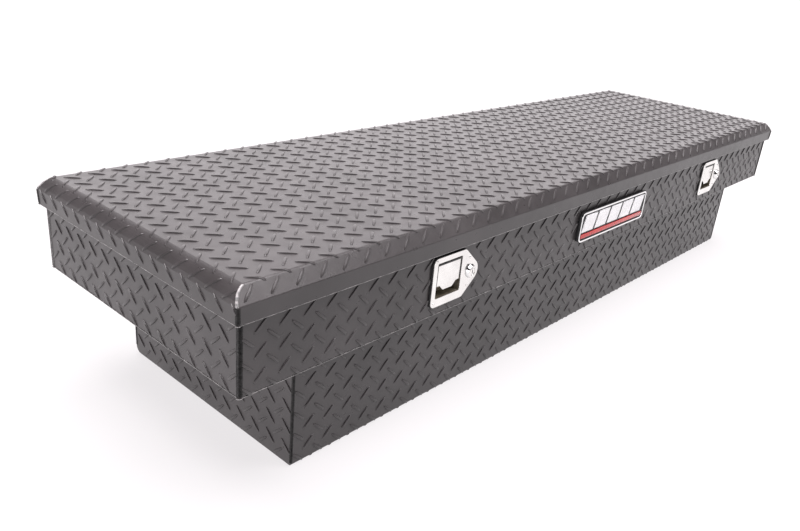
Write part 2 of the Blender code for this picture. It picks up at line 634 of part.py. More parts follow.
def build_hook(side, parent):
    """The hook beside the pan, the bracket that carries it and their pin."""
    _, hook_y, hook_z = HOOK_AXIS
    axis = anchor(f"hook_axis_{side}", HOOK_AXIS, parent)
    tail = -(hook_y - PADDLE_AXIS[1] - CRANK_REACH)
    crank_under = PADDLE_AXIS[2] - 0.0020 - hook_z
    tail_top = crank_under - 0.0006
    nose_y = STRIKER_Y - STRIKER_RADIUS - 0.0005 - hook_y
    bar_z = STRIKER_Z - hook_z
    outline = rounded_corners([(0.0045, -0.0045), (0.0045, 0.0060), (-0.0020, 0.0180),
                               (-0.0020, bar_z + 0.0030), (nose_y, bar_z + 0.0020),
                               (nose_y, bar_z + 0.0080), (-0.0030, bar_z + 0.0110),
                               (-0.0080, bar_z + 0.0060), (-0.0080, 0.0170), (-0.0045, 0.0060),
                               (tail, tail_top), (tail, tail_top - 0.0040)], 0.0012, 2, True)
    hole = belt([(0, 0, 0.0023)], 12)
    hook = flat_plate([outline, hole], HOOK_X - HOOK_HALF, HOOK_X + HOOK_HALF, "X")
    piece(f"hook_{side}", hook, STEEL, axis)

    arm_low = HOOK_X + HOOK_HALF + 0.0004
    arm_high = PAN_LEFT - PAN_WALL - GAP
    cheek = flat_plate([belt([(hook_y, hook_z, 0.0065), (0.0105, -0.006, 0.004), (0.0225, -0.006, 0.004)]),
                        belt([(hook_y, hook_z, 0.0023)], 12)], arm_low, arm_high, "X")
    piece(f"latch_bracket_{side}", cheek, STEEL, parent)
    pin = rod((HOOK_X - HOOK_HALF - 0.0015, hook_y, hook_z),
              (arm_high + 0.0012 - GAP, hook_y, hook_z), 0.0020, 12)
    piece(f"hook_pin_{side}", pin, STEEL, parent, smooth=True)


# ---------------------------------------------------------------- gas struts
def strut_state(opened):
    """Foot, head, length and tilt of a strut with the lid shut or fully open."""
    foot = Vector(STRUT_FOOT)
    arm = Vector(STRUT_HEAD) - Vector((HINGE_Y, HINGE_Z))
    head = Vector((HINGE_Y, HINGE_Z)) + Matrix.Rotation(-LID_TRAVEL if opened else 0.0, 2) @ arm
    reach = head - foot
    return foot, head, reach.length, math.atan2(reach.y, reach.x)


def build_strut(side, sign, parent, hinge):
    """One gas strut with its two brackets; it swings at the foot and slides out."""
    foot, head, length, tilt = strut_state(False)
    x = sign * STRUT_X
    swing = anchor(f"strut_foot_{side}", (x, foot.x, foot.y), parent)
    way = Vector((0.0, math.cos(tilt), math.sin(tilt)))
    tube = rod(way * 0.0100, way * 0.1180, STRUT_TUBE, 20)
    cylinder = piece(f"strut_cylinder_{side}", tube, BLACK_PAINT, swing, smooth=True)
    eye = rod((-0.0055, 0, 0), (0.0055, 0, 0), 0.0078, 16)
    boolean(cylinder, piece(f"strut_eye_{side}", eye, BLACK_PAINT, swing), "UNION")
    neck = rod(way * 0.002, way * 0.012, 0.0045, 12)
    boolean(cylinder, piece(f"strut_neck_{side}", neck, BLACK_PAINT, swing), "UNION")
    cavity = rod(way * 0.0140, way * 0.1300, STRUT_TUBE_BORE, 16)
    boolean(cylinder, piece(f"strut_bore_{side}", cavity, BLACK_PAINT, swing))
    stud_hole = rod((-0.02, 0, 0), (0.02, 0, 0), STRUT_STUD + GAP, 12)
    boolean(cylinder, piece(f"strut_foot_hole_{side}", stud_hole, BLACK_PAINT, swing))

    slide = anchor(f"strut_head_{side}", way * length, swing)
    shaft = rod(way * (0.0170 - length), way * -0.0080, STRUT_ROD, 16)
    piece(f"strut_rod_{side}", shaft, CHROME, slide, smooth=True)
    socket = rod((-0.0055, 0, 0), (0.0055, 0, 0), 0.0074, 16)
    stud = rod((sign * 0.0050, 0, 0), (sign * (STRUT_EAR - GAP), 0, 0), 0.0050, 12)
    joint = piece(f"strut_socket_{side}", socket, BLACK_PLASTIC, slide, smooth=True)
    boolean(joint, piece(f"strut_stud_{side}", stud, BLACK_PLASTIC, slide), "UNION")

    build_strut_bracket(f"strut_tub_bracket_{side}", sign, WING_Z + SHEET + GAP - foot.y, parent,
                        (x, foot.x, foot.y), True)
    ceiling = LID_TOP_Z - SHEET - GAP
    build_strut_bracket(f"strut_lid_bracket_{side}", sign, ceiling - head.y, hinge,
                        (x, head.x - HINGE_Y, head.y - HINGE_Z), False)


def build_strut_bracket(name, sign, foot_z, parent, at, with_stud):
    """An angle bracket: an ear beside the strut's pivot and a foot on the sheet."""
    up = 1.0 if foot_z < 0 else -1.0
    ear_low, ear_high = sorted((sign * STRUT_EAR, sign * (STRUT_EAR + 0.0030)))
    base = foot_z + up * 0.0040
    discs = [(0, 0, 0.0085), (-0.0060, base, 0.0030), (0.0060, base, 0.0030)]
    bracket = piece(name, flat_plate([belt(discs)], ear_low, ear_high, "X"), STEEL, parent, at)
    x0, x1 = sorted((sign * STRUT_EAR, sign * (STRUT_EAR + 0.0150)))
    z0, z1 = sorted((foot_z, foot_z + up * 0.0025))
    foot = block((x0, -0.0110, z0), (x1, 0.0110, z1))
    boolean(bracket, piece(f"{name}_foot", foot, STEEL, parent, at), "UNION")
    if with_stud:
        x0, x1 = -sign * 0.0075, sign * (STRUT_EAR + STUD_ROOT)
        stud = rod((x0, 0, 0), (x1, 0, 0), STRUT_STUD, 12)
        boolean(bracket, piece(f"{name}_stud", stud, STEEL, parent, at), "UNION")


# ---------------------------------------------------------------- name plate
def build_badge(parent):
    """A plain plate: black base, bright frame, silver field, red bar."""
    at = anchor("badge", (BADGE_X, -HALF_DEPTH, BADGE_Z), parent)
    half_x, half_z = 0.1315, 0.0300

    def rectangle(x0, x1, z0, z1, radius):
        return rounded_corners([(x0, z0), (x1, z0), (x1, z1), (x0, z1)], radius, 4, True)

    outside = rectangle(-half_x, half_x, -half_z, half_z, 0.010)
    piece("badge_base", flat_plate([outside], -0.0060, -GAP), BLACK_PLASTIC, at)
    inside = rectangle(-half_x + 0.0035, half_x - 0.0035, -half_z + 0.0035, half_z - 0.0035, 0.0065)
    piece("badge_frame", flat_plate([outside, inside], -0.0082, -0.0060 - GAP), CHROME, at)
    field = rectangle(-half_x + 0.007, half_x - 0.007, -0.0105, half_z - 0.007, 0.004)
    piece("badge_field", flat_plate([field], -0.0076, -0.0060 - GAP), SILVER, at)
    stripe = rectangle(-half_x + 0.007, half_x - 0.007, -half_z + 0.007, -0.0145, 0.003)
    piece("badge_stripe", flat_plate([stripe], -0.0076, -0.0060 - GAP), RED, at)


# ---------------------------------------------------------------- assembly
clear_scene()
PARTS = collection("truck_tool_box")
CUTTERS = collection("cutters")
SIDES = (("left", -1), ("right", 1))

PLATE = finish("powder_coat", (0.105, 0.100, 0.100), 0.50, 0.35)
RUBBER = finish("rubber", (0.012, 0.012, 0.013), 0.75, 0.0)
STAINLESS = finish("stainless", (0.78, 0.77, 0.75), 0.22, 1.0)
STEEL = finish("zinc_steel", (0.55, 0.55, 0.56), 0.38, 1.0)
CHROME = finish("chrome", (0.80, 0.80, 0.80), 0.08, 1.0)
BLACK_PAINT = finish("black_paint", (0.010, 0.010, 0.011), 0.35, 0.0)
BLACK_PLASTIC = finish("black_plastic", (0.010, 0.010, 0.011), 0.45, 0.0)
SILVER = finish("silver_field", (0.82, 0.82, 0.82), 0.35, 0.0)
RED = finish("red_stripe", (0.60, 0.02, 0.015), 0.30, 0.0)

ROOT = anchor("tool_box", (0.0, 0.0, 0.0))
HINGE = anchor("lid_hinge", (0.0, HINGE_Y, HINGE_Z), ROOT)
build_tub(ROOT)
build_lid(ROOT, HINGE)
build_hinge(ROOT, HINGE)
for latch_side, latch_place in LATCH_XS.items():
    build_latch(latch_side, latch_place, ROOT)
for strut_side, strut_sign in SIDES:
    build_strut(strut_side, strut_sign, ROOT, HINGE)
build_badge(ROOT)
bpy.context.view_layer.update()
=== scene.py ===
"""The truck tool box as it looks: tread plate, welds, rivets, finishes, light and camera."""

import json
import math
import random

import bmesh
import bpy
import numpy as np
from mathutils import Euler, Matrix, Vector

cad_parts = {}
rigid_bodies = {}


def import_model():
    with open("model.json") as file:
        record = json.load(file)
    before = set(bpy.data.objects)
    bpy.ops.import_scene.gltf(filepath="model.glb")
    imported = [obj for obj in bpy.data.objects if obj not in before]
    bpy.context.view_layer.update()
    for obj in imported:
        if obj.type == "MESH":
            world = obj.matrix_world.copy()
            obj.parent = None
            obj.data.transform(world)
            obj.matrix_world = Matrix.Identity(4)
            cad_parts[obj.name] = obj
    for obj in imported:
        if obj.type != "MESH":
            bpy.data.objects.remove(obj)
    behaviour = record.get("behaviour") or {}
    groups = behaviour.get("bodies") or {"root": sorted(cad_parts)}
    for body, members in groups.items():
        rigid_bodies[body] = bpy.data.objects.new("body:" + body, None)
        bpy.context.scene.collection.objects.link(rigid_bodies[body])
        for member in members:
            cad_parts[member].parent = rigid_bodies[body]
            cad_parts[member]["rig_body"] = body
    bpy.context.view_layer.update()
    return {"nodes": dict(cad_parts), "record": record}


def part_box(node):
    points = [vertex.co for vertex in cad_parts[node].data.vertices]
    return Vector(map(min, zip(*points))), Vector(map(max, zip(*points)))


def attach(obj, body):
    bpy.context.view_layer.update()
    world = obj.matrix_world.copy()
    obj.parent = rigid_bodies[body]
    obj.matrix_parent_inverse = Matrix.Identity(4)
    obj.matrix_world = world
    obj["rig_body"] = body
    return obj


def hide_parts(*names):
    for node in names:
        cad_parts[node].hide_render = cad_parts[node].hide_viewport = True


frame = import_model()
NODES = frame["nodes"]
random.seed(7)

# ---------------------------------------------------------------- sizes
MM = 0.001
LID_LOW, LID_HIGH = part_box("lid_shell")
TUB_LOW, TUB_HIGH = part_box("wing_left")[0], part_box("wing_right")[1]
LOWER_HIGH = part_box("lower_end_right")[1]
BROW = 20 * MM                   # drop of the lid's slanted band, and its inset at the ends
SIDE_BROW = 15.5 * MM            # its inset along the front and back
KNEE_Z = LID_HIGH.z - BROW
SIDE_BENDS = (4 * MM, 3 * MM)    # bend radii at the top and foot of the band
END_ROUND = 30 * MM              # radius of the rolled edge on the ends
ROLL_HUB = BROW / 2 + math.sqrt((END_ROUND ** 2 - BROW ** 2 / 2) / 2)
BEND = 3 * MM                    # fold radius of the upper body
TRAY_BENDS = (3 * MM, 12 * MM)   # folds along the foot of the lower body, front and back
LID_TUCK = 1.2 * MM              # how far the skirt draws in at the lip
LATCH_X = (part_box("latch_dish_right")[0].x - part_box("latch_dish_left")[0].x) / 2
LATCH_Z = 236 * MM               # middle of a latch plate
LATCH_RIVETS = ((-30.5 * MM, 35.5 * MM), (-30.5 * MM, -34.5 * MM), (49.0 * MM, 24.5 * MM),
                (49.0 * MM, -24.5 * MM))
RIVET_HEAD = (2.3 * MM, 1.1 * MM)     # radius and height
HINGE_RIVETS = 19
HINGE_RIVET_END = 22 * MM        # from the hinge's end to its first rivet
TUB_RIVET_HEAD = (2.6 * MM, 1.3 * MM)
LID_RIVET_HEAD = (3.0 * MM, 1.4 * MM)
LEAF = 1.2 * MM                  # thickness of a hinge leaf and of a rib
LEAF_GAP = 0.3 * MM              # gap between a leaf and the wall it lies on
STUD_HEAD = (3.2 * MM, 2.0 * MM)
STUD_INSET = (9 * MM, 15 * MM)   # of the first stud from a rib's side and end
STUDS_PER_ROW = 5
WING_Z = TUB_LOW.z
RIM_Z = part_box("front_rail")[1].z
FLANGE = 18 * MM                 # width of the rim flange
WELD_GAP = 1.5 * MM              # plain margin beside a welded corner

LUG_LENGTH = 27.5 * MM
LUG_WIDTH = 5.0 * MM
LUG_HEIGHT = 1.8 * MM
LUG_SINK = 0.35 * MM             # depth of a lug's foot in the sheet
LUG_TURN = math.radians(43.0)
# A tread lattice has a pitch along and up its sheet, and a phase: where one of its lugs is.
TOP_PITCH = (38.4 * MM, 34.7 * MM)
TOP_PHASE = (-0.8485, 0.2182)
FRONT_PITCH = (38.4 * MM, 34.0 * MM)
FRONT_PHASE = (-0.8486, 0.2698)
END_PITCH = (35.5 * MM, 34.1 * MM)
WING_PHASE = (-0.2150, 0.2570)
PLATE_PHASE = (-0.198, 0.130)
LOWER_PITCH = (37.6 * MM, 35.2 * MM)
LOWER_PHASE = (-0.7335, 0.133)

FLOOR_REACH = 60.0
FLOOR_SIDES = 64
FLOOR_DROP = 1.6 * MM            # the lugs under the box stand on it
LIGHT_TINT = (1.0, 0.955, 0.975)
# Each: direction of darkening, where it starts and ends along it, bright and dim levels.
SKY_LEAN = ((-0.14, -0.55, 0.82), -0.02, 0.18, 1.85, 0.07)
SKY_RIM = ((0.0, 0.0, 1.0), 0.03, 0.11, 1.0, 0.0)
SKY_BACK = ((-0.40, 0.77, 0.47), 0.80, 0.93, 1.0, 0.12)
# Each: where it shines from, its width in degrees and its strength.
SUNS = {"overhead": ((0.10, 0.05, 1.0), 60.0, 7.0),
        "front_right": ((0.50, -0.50, 0.70), 22.0, 1.0),
        "left": ((-0.97, 0.05, 0.04), 40.0, 3.5)}
CAMERA_AT = (-1.3446, -0.8813, 0.7032)
CAMERA_TURN = (66.578, -4.955, -47.221)
LENS = 34.09


# ---------------------------------------------------------------- material helpers
class Look:
    """A Principled material and the nodes that shade it."""

    def __init__(self, name, colour, roughness, metallic=0.0, **sockets):
        self.mat = bpy.data.materials.new(name)
        self.mat.use_nodes = True
        self.tree = self.mat.node_tree
        self.shader = self.tree.nodes["Principled BSDF"]
        self.set("Base Color", (*colour, 1.0))
        self.set("Roughness", roughness)
        self.set("Metallic", metallic)
        for socket, value in sockets.items():
            self.set(socket.replace("_", " "), value)
        self.place = self.tree.nodes.new("ShaderNodeTexCoord").outputs["Object"]

    def set(self, socket, value):
        self.shader.inputs[socket].default_value = value

    def noise(self, scale, detail=3.0, stretch=(1.0, 1.0, 1.0), roughness=0.5):
        spread = self.tree.nodes.new("ShaderNodeMapping")
        spread.inputs["Scale"].default_value = stretch
        self.tree.links.new(self.place, spread.inputs["Vector"])
        node = self.tree.nodes.new("ShaderNodeTexNoise")
        node.inputs["Scale"].default_value = scale
        node.inputs["Detail"].default_value = detail
        node.inputs["Roughness"].default_value = roughness
        self.tree.links.new(spread.outputs["Vector"], node.inputs["Vector"])
        return node.outputs["Fac"]

    def cells(self, scale):
        node = self.tree.nodes.new("ShaderNodeTexVoronoi")
        node.inputs["Scale"].default_value = scale
        self.tree.links.new(self.place, node.inputs["Vector"])
        return node.outputs["Distance"]

    def spread(self, fac, low, high, start=0.3, end=0.7):
        """Map a 0..1 value onto a range."""
        node = self.tree.nodes.new("ShaderNodeMapRange")
        node.inputs["From Min"].default_value = start
        node.inputs["From Max"].default_value = end
        node.inputs["To Min"].default_value = low
        node.inputs["To Max"].default_value = high
        self.tree.links.new(fac, node.inputs["Value"])
        return node.outputs["Result"]

    def ramp(self, fac, *stops):
        """A colour ramp; stops are (place, colour)."""
        node = self.tree.nodes.new("ShaderNodeValToRGB")
        first, last = node.color_ramp.elements
        first.position, first.color = stops[0][0], (*stops[0][1], 1.0)
        last.position, last.color = stops[-1][0], (*stops[-1][1], 1.0)
        for place, colour in stops[1:-1]:
            extra = node.color_ramp.elements.new(place)
            extra.color = (*colour, 1.0)
        self.tree.links.new(fac, node.inputs["Fac"])
        return node.outputs["Color"]

    def drive(self, socket, output):
        self.tree.links.new(output, self.shader.inputs[socket])

    def bump(self, *layers):
        """Layers of (height output, strength, distance in metres)."""
        normal = None
        for height, strength, distance in layers:
            node = self.tree.nodes.new("ShaderNodeBump")
            node.inputs["Strength"].default_value = strength
            node.inputs["Distance"].default_value = distance
            self.tree.links.new(height, node.inputs["Height"])
            if normal is not None:
                self.tree.links.new(normal, node.inputs["Normal"])
            normal = node.outputs["Normal"]
        self.drive("Normal", normal)


def powder_coat():
    """Dark grey powder coat: a fine orange-peel grain with a faint mottle."""
    look = Look("powder_coat", (0.05, 0.05, 0.05), 0.3, Specular_IOR_Level=0.5)
    mottle = look.noise(9.0, 4.0)
    speck = look.noise(900.0, 2.0)
    both = look.tree.nodes.new("ShaderNodeMath")
    both.operation = "MULTIPLY_ADD"
    look.tree.links.new(speck, both.inputs[0])
    both.inputs[1].default_value = 0.35
    look.tree.links.new(mottle, both.inputs[2])
    look.drive("Base Color", look.ramp(both.outputs[0], (0.42, (0.030, 0.027, 0.027)),
                                       (0.62, (0.038, 0.034, 0.035)),
                                       (0.86, (0.050, 0.045, 0.046))))
    look.drive("Roughness", look.spread(look.noise(60.0, 3.0), 0.27, 0.36))
    look.bump((look.noise(1400.0, 2.0), 0.30, 0.20 * MM), (look.noise(26.0, 2.0), 0.10, 1.2 * MM))
    return look.mat


def weld_coat_painted_light(name, dark, light, gloss):
    """The same coat over a weld, its colour painted darker than the plain coat as shade or lighter
    as a highlight, mottled between two tones.
    """
    look = Look(name, (dark, dark, dark), 0.5, Specular_IOR_Level=gloss)
    look.drive("Base Color", look.ramp(look.noise(240.0, 3.0), (0.35, (dark, dark, dark)),
                                       (0.70, (light, light * 0.95, light * 0.95))))
    look.drive("Roughness", look.spread(look.noise(420.0, 2.0), 0.30, 0.55))
    look.bump((look.noise(700.0, 3.0), 0.45, 0.4 * MM))
    return look.mat


def worn_edge_painted_highlight():
    """The cut edge of a sheet: the coat is worn thin there, and a lighter grey is painted on as the
    highlight the edge catches.
    """
    look = Look("worn_edge_painted_highlight", (0.3, 0.3, 0.3), 0.34, 0.25)
    look.drive("Base Color", look.ramp(look.noise(120.0, 4.0), (0.35, (0.12, 0.117, 0.117)),
                                       (0.60, (0.25, 0.24, 0.24)), (0.78, (0.44, 0.43, 0.42))))
    look.bump((look.noise(800.0, 2.0), 0.3, 0.2 * MM))
    return look.mat


def stainless():
    """Polished stainless sheet with a faint rolling grain."""
    look = Look("stainless", (0.80, 0.79, 0.77), 0.2, 1.0)
    grain = look.noise(220.0, 3.0, (0.25, 1.0, 6.0))
    look.drive("Roughness", look.spread(grain, 0.15, 0.30))
    look.drive("Base Color", look.ramp(look.noise(30.0, 3.0), (0.3, (0.74, 0.73, 0.71)),
                                       (0.7, (0.86, 0.85, 0.83))))
    look.bump((grain, 0.05, 0.1 * MM))
    return look.mat


def pan_painted_shade():
    """Dark brownish steel inside a latch's pan, painted shade."""
    look = Look("pan_painted_shade", (0.25, 0.22, 0.17), 0.35, 0.6)
    look.drive("Base Color", look.ramp(look.noise(130.0, 3.0), (0.30, (0.150, 0.130, 0.092)),
                                       (0.55, (0.250, 0.222, 0.170)), (0.75, (0.45, 0.41, 0.34))))
    look.drive("Roughness", look.spread(look.noise(260.0, 2.0), 0.28, 0.46))
    look.bump((look.noise(300.0, 3.0), 0.25, 0.3 * MM))
    return look.mat


def zinc_steel():
    """Zinc-plated steel with soft spangled patches."""
    look = Look("zinc_steel", (0.5, 0.5, 0.5), 0.4, 1.0)
    look.drive("Base Color", look.ramp(look.cells(160.0), (0.1, (0.46, 0.46, 0.47)),
                                       (0.7, (0.62, 0.62, 0.62))))
    look.drive("Roughness", look.spread(look.noise(90.0, 3.0), 0.30, 0.48))
    look.bump((look.noise(500.0, 2.0), 0.12, 0.15 * MM))
    return look.mat


def chrome():
    look = Look("chrome", (0.82, 0.82, 0.82), 0.08, 1.0)
    look.drive("Roughness", look.spread(look.noise(300.0, 2.0), 0.05, 0.14))
    return look.mat


def rubber(name="rubber"):
    look = Look(name, (0.012, 0.012, 0.013), 0.7, Specular_IOR_Level=0.4)
    look.drive("Base Color", look.ramp(look.noise(90.0, 3.0), (0.3, (0.009, 0.009, 0.010)),
                                       (0.75, (0.022, 0.022, 0.023))))
    look.drive("Roughness", look.spread(look.noise(200.0, 2.0), 0.55, 0.80))
    look.bump((look.noise(1500.0, 2.0), 0.25, 0.15 * MM))
    return look.mat


def black_finish(name, gloss_low, gloss_high, grain):
    """Satin black paint or moulded plastic."""
    look = Look(name, (0.010, 0.010, 0.011), gloss_low)
    look.drive("Base Color", look.ramp(look.noise(70.0, 3.0), (0.3, (0.008, 0.008, 0.009)),
                                       (0.75, (0.016, 0.016, 0.017))))
    look.drive("Roughness", look.spread(look.noise(180.0, 2.0), gloss_low, gloss_high))
    look.bump((look.noise(grain, 2.0), 0.15, 0.1 * MM))
    return look.mat


def enamel(name, dark, light):
    """A glossy coloured badge finish with a slight flow to it."""
    look = Look(name, light, 0.25, Coat_Weight=0.4, Coat_Roughness=0.08)
    look.drive("Base Color", look.ramp(look.noise(25.0, 2.0), (0.3, dark), (0.7, light)))
    look.drive("Roughness", look.spread(look.noise(300.0, 2.0), 0.20, 0.34))
    look.bump((look.noise(400.0, 2.0), 0.05, 0.1 * MM))
    return look.mat


POWDER = powder_coat()
# Weld coat: painted darker than the plain coat, as painted shade on the weld beads.
WELD_SHADE = weld_coat_painted_light("weld_coat_painted_light", 0.003, 0.020, 0.22)
# Seam coat: painted light grey, a painted highlight on the band's welded seams.
SEAM_HIGHLIGHT = weld_coat_painted_light("seam_coat_painted_highlight", 0.120, 0.420, 0.75)
# Edge colour: partly worn coat, partly a painted highlight along the lips and feet.
EDGE_WEAR_AND_HIGHLIGHT = worn_edge_painted_highlight()
STAINLESS = stainless()
ZINC = zinc_steel()
CHROME = chrome()
RUBBER = rubber()
PAINT = black_finish("black_paint", 0.25, 0.36, 300.0)
# Painted shade for the inside of the latch pans.
PAN_SHADE = pan_painted_shade()
PLASTIC = black_finish("black_plastic", 0.36, 0.50, 900.0)
SILVER = enamel("silver_field", (0.74, 0.74, 0.75), (0.86, 0.86, 0.87))
RED = enamel("red_stripe", (0.42, 0.004, 0.004), (0.56, 0.009, 0.007))
FINISHES = {"powder_coat": POWDER, "rubber": RUBBER, "stainless": STAINLESS, "zinc_steel": ZINC,
            "chrome": CHROME, "black_paint": PAINT, "black_plastic": PLASTIC,
            "silver_field": SILVER, "red_stripe": RED}


# ---------------------------------------------------------------- piece helpers
def smooth_by_angle(mesh, degrees):
    mesh.shade_smooth()
    mesh.set_sharp_from_angle(angle=math.radians(degrees))


def add_piece(name, mesh, mat, body, smooth=40.0):
    """Put a new mesh in the scene as a piece that rides on a body."""
    mesh.materials.clear()
    mesh.materials.append(mat)
    if smooth:
        smooth_by_angle(mesh, smooth)
    obj = bpy.data.objects.new(name, mesh)
    bpy.context.scene.collection.objects.link(obj)
    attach(obj, body)
    return obj


def mesh_from(name, verts, faces):
    mesh = bpy.data.meshes.new(name)
    mesh.from_pydata([tuple(v) for v in verts], [], faces)
    mesh.validate()
    mesh.update()
    return mesh


def merged(name, parts):
    """One mesh from (verts, faces) parts."""
    verts, faces = [], []
    for part_verts, part_faces in parts:
        base = len(verts)
        verts += [tuple(v) for v in part_verts]
        faces += [tuple(base + i for i in face) for face in part_faces]
    return mesh_from(name, verts, faces)


def outward_faces(mesh):
    bm = bmesh.new()
    bm.from_mesh(mesh)
    bmesh.ops.recalc_face_normals(bm, faces=bm.faces)
    bm.to_mesh(mesh)
    bm.free()
    return mesh


def parts_piece(name, parts, mat, body, smooth=35.0):
    """A piece from closed (verts, faces) parts, its faces turned outward."""
    return add_piece(name, outward_faces(merged(name, parts)), mat, body, smooth)


# ---------------------------------------------------------------- folded sheets
class Sheet:
    """The outer face of a folded sheet: a profile of (across, z) pushed along X or Y.

    A place on it is (u, v): u runs along the fold and v is the length along the
    profile, with v equal to the across value on the flat that holds `datum`.
    """

    def __init__(self, corners, bends, along, datum, centre):
        points, normals = self.trace([Vector(c) for c in corners], bends, Vector(centre))
        self.points, self.normals, self.along = np.array(points), np.array(normals), along
        steps = np.hypot(*np.diff(self.points, axis=0).T)
        reach = np.concatenate([[0.0], np.cumsum(steps)])
        axis, value = datum
        order = np.argsort(self.points[:, axis], kind="stable")
        at = np.interp(value, self.points[order, axis], reach[order])
        self.reach = reach - at + value

    @staticmethod
    def trace(corners, bends, centre):
        """Points along the profile, each with its outward normal."""
        points, normals = [corners[0]], []
        ways = [(b - a).normalized() for a, b in zip(corners, corners[1:])]
        sides = [Vector((way.y, -way.x)) for way in ways]
        middle = sum(((a + b) / 2 - centre).dot(s) * (b - a).length
                     for a, b, s in zip(corners, corners[1:], sides))
        if middle < 0:
            sides = [-side for side in sides]
        normals.append(sides[0])
        for i, radius in enumerate(bends):
            corner, turn = corners[i + 1], ways[i].angle_signed(ways[i + 1])
            tangent = radius * math.tan(abs(turn) / 2)
            start = corner - ways[i] * tangent
            inward = (ways[i + 1] - ways[i]).normalized()
            hub = corner + inward * (radius / math.cos(turn / 2))
            steps = max(2, round(abs(math.degrees(turn)) / 7))
            for k in range(steps + 1):
                spin = Matrix.Rotation(-turn * k / steps, 2)
                points.append(hub + spin @ (start - hub))
                normals.append(spin @ sides[i])
        points.append(corners[-1])
        normals.append(sides[-1])
        return points, normals

    def place(self, u, v, height):
        """World places of points at (u, v), lifted off the sheet by height."""
        across = np.interp(v, self.reach, self.points[:, 0])
        z = np.interp(v, self.reach, self.points[:, 1])
        normal_across = np.interp(v, self.reach, self.normals[:, 0])
        normal_z = np.interp(v, self.reach, self.normals[:, 1])
        size = np.hypot(normal_across, normal_z)
        across = across + normal_across / size * height
        z = z + normal_z / size * height
        return np.stack([u, across, z] if self.along == "X" else [across, u, z], -1)


# ---------------------------------------------------------------- tread lugs
STATIONS = np.array([-1.0, -0.93, -0.76, -0.3, 0.3, 0.76, 0.93, 1.0])
RING_ACROSS = np.array([-1.0, -0.70, 0.0, 0.70, 1.0])
RING_HEIGHT = np.array([0.0, 0.90, 1.0, 0.90, 0.0])


def lug(sheet, u, v, turn, inside):
    """One raised lug at (u, v), cut short where its middle line leaves the sheet."""
    way = (math.cos(turn), math.sin(turn))
    line = np.linspace(-1.0, 1.0, 25)
    half = LUG_LENGTH / 2
    on = [inside(u + way[0] * half * t, v + way[1] * half * t) for t in line]
    if not on[12]:
        return None
    first = 12
    while first > 0 and on[first - 1]:
        first -= 1
    last = 12
    while last < 24 and on[last + 1]:
        last += 1
    if last - first < 7:
        return None
    t = np.interp(STATIONS, [-1.0, 1.0], [line[first], line[last]])
    taper = np.clip(1.0 - np.abs(t) ** 4.0, 0.0, 1.0) ** 0.55
    wide = np.maximum(taper, 0.10)[:, None] * RING_ACROSS * (LUG_WIDTH / 2)
    tall = np.maximum(taper, 0.12)[:, None] * RING_HEIGHT * (LUG_HEIGHT + LUG_SINK) - LUG_SINK
    along = np.repeat(t[:, None] * half, 5, axis=1)
    uu = u + way[0] * along - way[1] * wide
    vv = v + way[1] * along + way[0] * wide
    return sheet.place(uu.ravel(), vv.ravel(), tall.ravel())


def lug_faces():
    rows = len(STATIONS)
    faces = []
    for row in range(rows - 1):
        for col in range(5):
            nxt = (col + 1) % 5
            faces.append((row * 5 + col, row * 5 + nxt, row * 5 + 5 + nxt, row * 5 + 5 + col))
    faces.append(tuple(range(4, -1, -1)))
    faces.append(tuple((rows - 1) * 5 + k for k in range(5)))
    return faces


LUG_FACES = lug_faces()


def lug_field(name, sheet, body, pitch, phase, turn, spans, inside):
    """All lugs of a sheet: two families, turned opposite ways, half a pitch apart."""
    (u0, u1), (v0, v1) = spans
    parts = []
    for shift, angle in ((0.0, turn), (0.5, -turn)):
        first_u = math.ceil((u0 - phase[0]) / pitch[0] - shift)
        last_u = math.floor((u1 - phase[0]) / pitch[0] - shift)
        first_v = math.ceil((v0 - phase[1]) / pitch[1] - shift)
        last_v = math.floor((v1 - phase[1]) / pitch[1] - shift)
        for i in range(first_u, last_u + 1):
            for j in range(first_v, last_v + 1):
                place = (phase[0] + (i + shift) * pitch[0], phase[1] + (j + shift) * pitch[1])
                verts = lug(sheet, *place, angle, inside)
                if verts is not None:
                    parts.append((verts, LUG_FACES))
    parts_piece(name, parts, POWDER, body, 55.0)


def lid_corners(half, lip_draw):
    return [(-half + lip_draw, LID_LOW.z), (-half, KNEE_Z), (-half + SIDE_BROW, LID_HIGH.z),
            (half - SIDE_BROW, LID_HIGH.z), (half, KNEE_Z), (half - lip_draw, LID_LOW.z)]


def roll_inset(z):
    """How far a rolled end has drawn in at height z."""
    rise = max(0.0, z - KNEE_Z)
    return ROLL_HUB - math.sqrt(END_ROUND ** 2 - (rise + ROLL_HUB - BROW) ** 2)


def band_inset(z):
    """How far the front and back bands have drawn in at height z."""
    return max(0.0, min(SIDE_BROW, (z - KNEE_Z) * SIDE_BROW / BROW))


def lid_tread():
    """The lid: one lattice runs over the top and down all four sides."""
    half_x, half_y = LID_HIGH.x, LID_HIGH.y
    top_r, low_r = SIDE_BENDS
    sides = Sheet(lid_corners(half_y, LID_TUCK), (low_r, top_r, top_r, low_r), "X",
                  (0, 0.0), (0, 0))
    half_turn = math.asin(BROW / math.sqrt(2) / END_ROUND)
    tangent, lean = END_ROUND * math.tan(half_turn), math.pi / 4 - half_turn
    knee = (-half_x + tangent * math.sin(lean), KNEE_Z + tangent * math.cos(lean))
    left = [(-half_x + LID_TUCK, LID_LOW.z), (-half_x, KNEE_Z), knee, (-half_x + BROW, LID_HIGH.z)]
    right = [(-x, z) for x, z in reversed(left)]
    crease = 0.4 * MM
    bends = (crease, END_ROUND, crease, crease, END_ROUND, crease)
    ends = Sheet(left + right, bends, "Y", (0, 0.0), (0, 0))
    return sides, ends


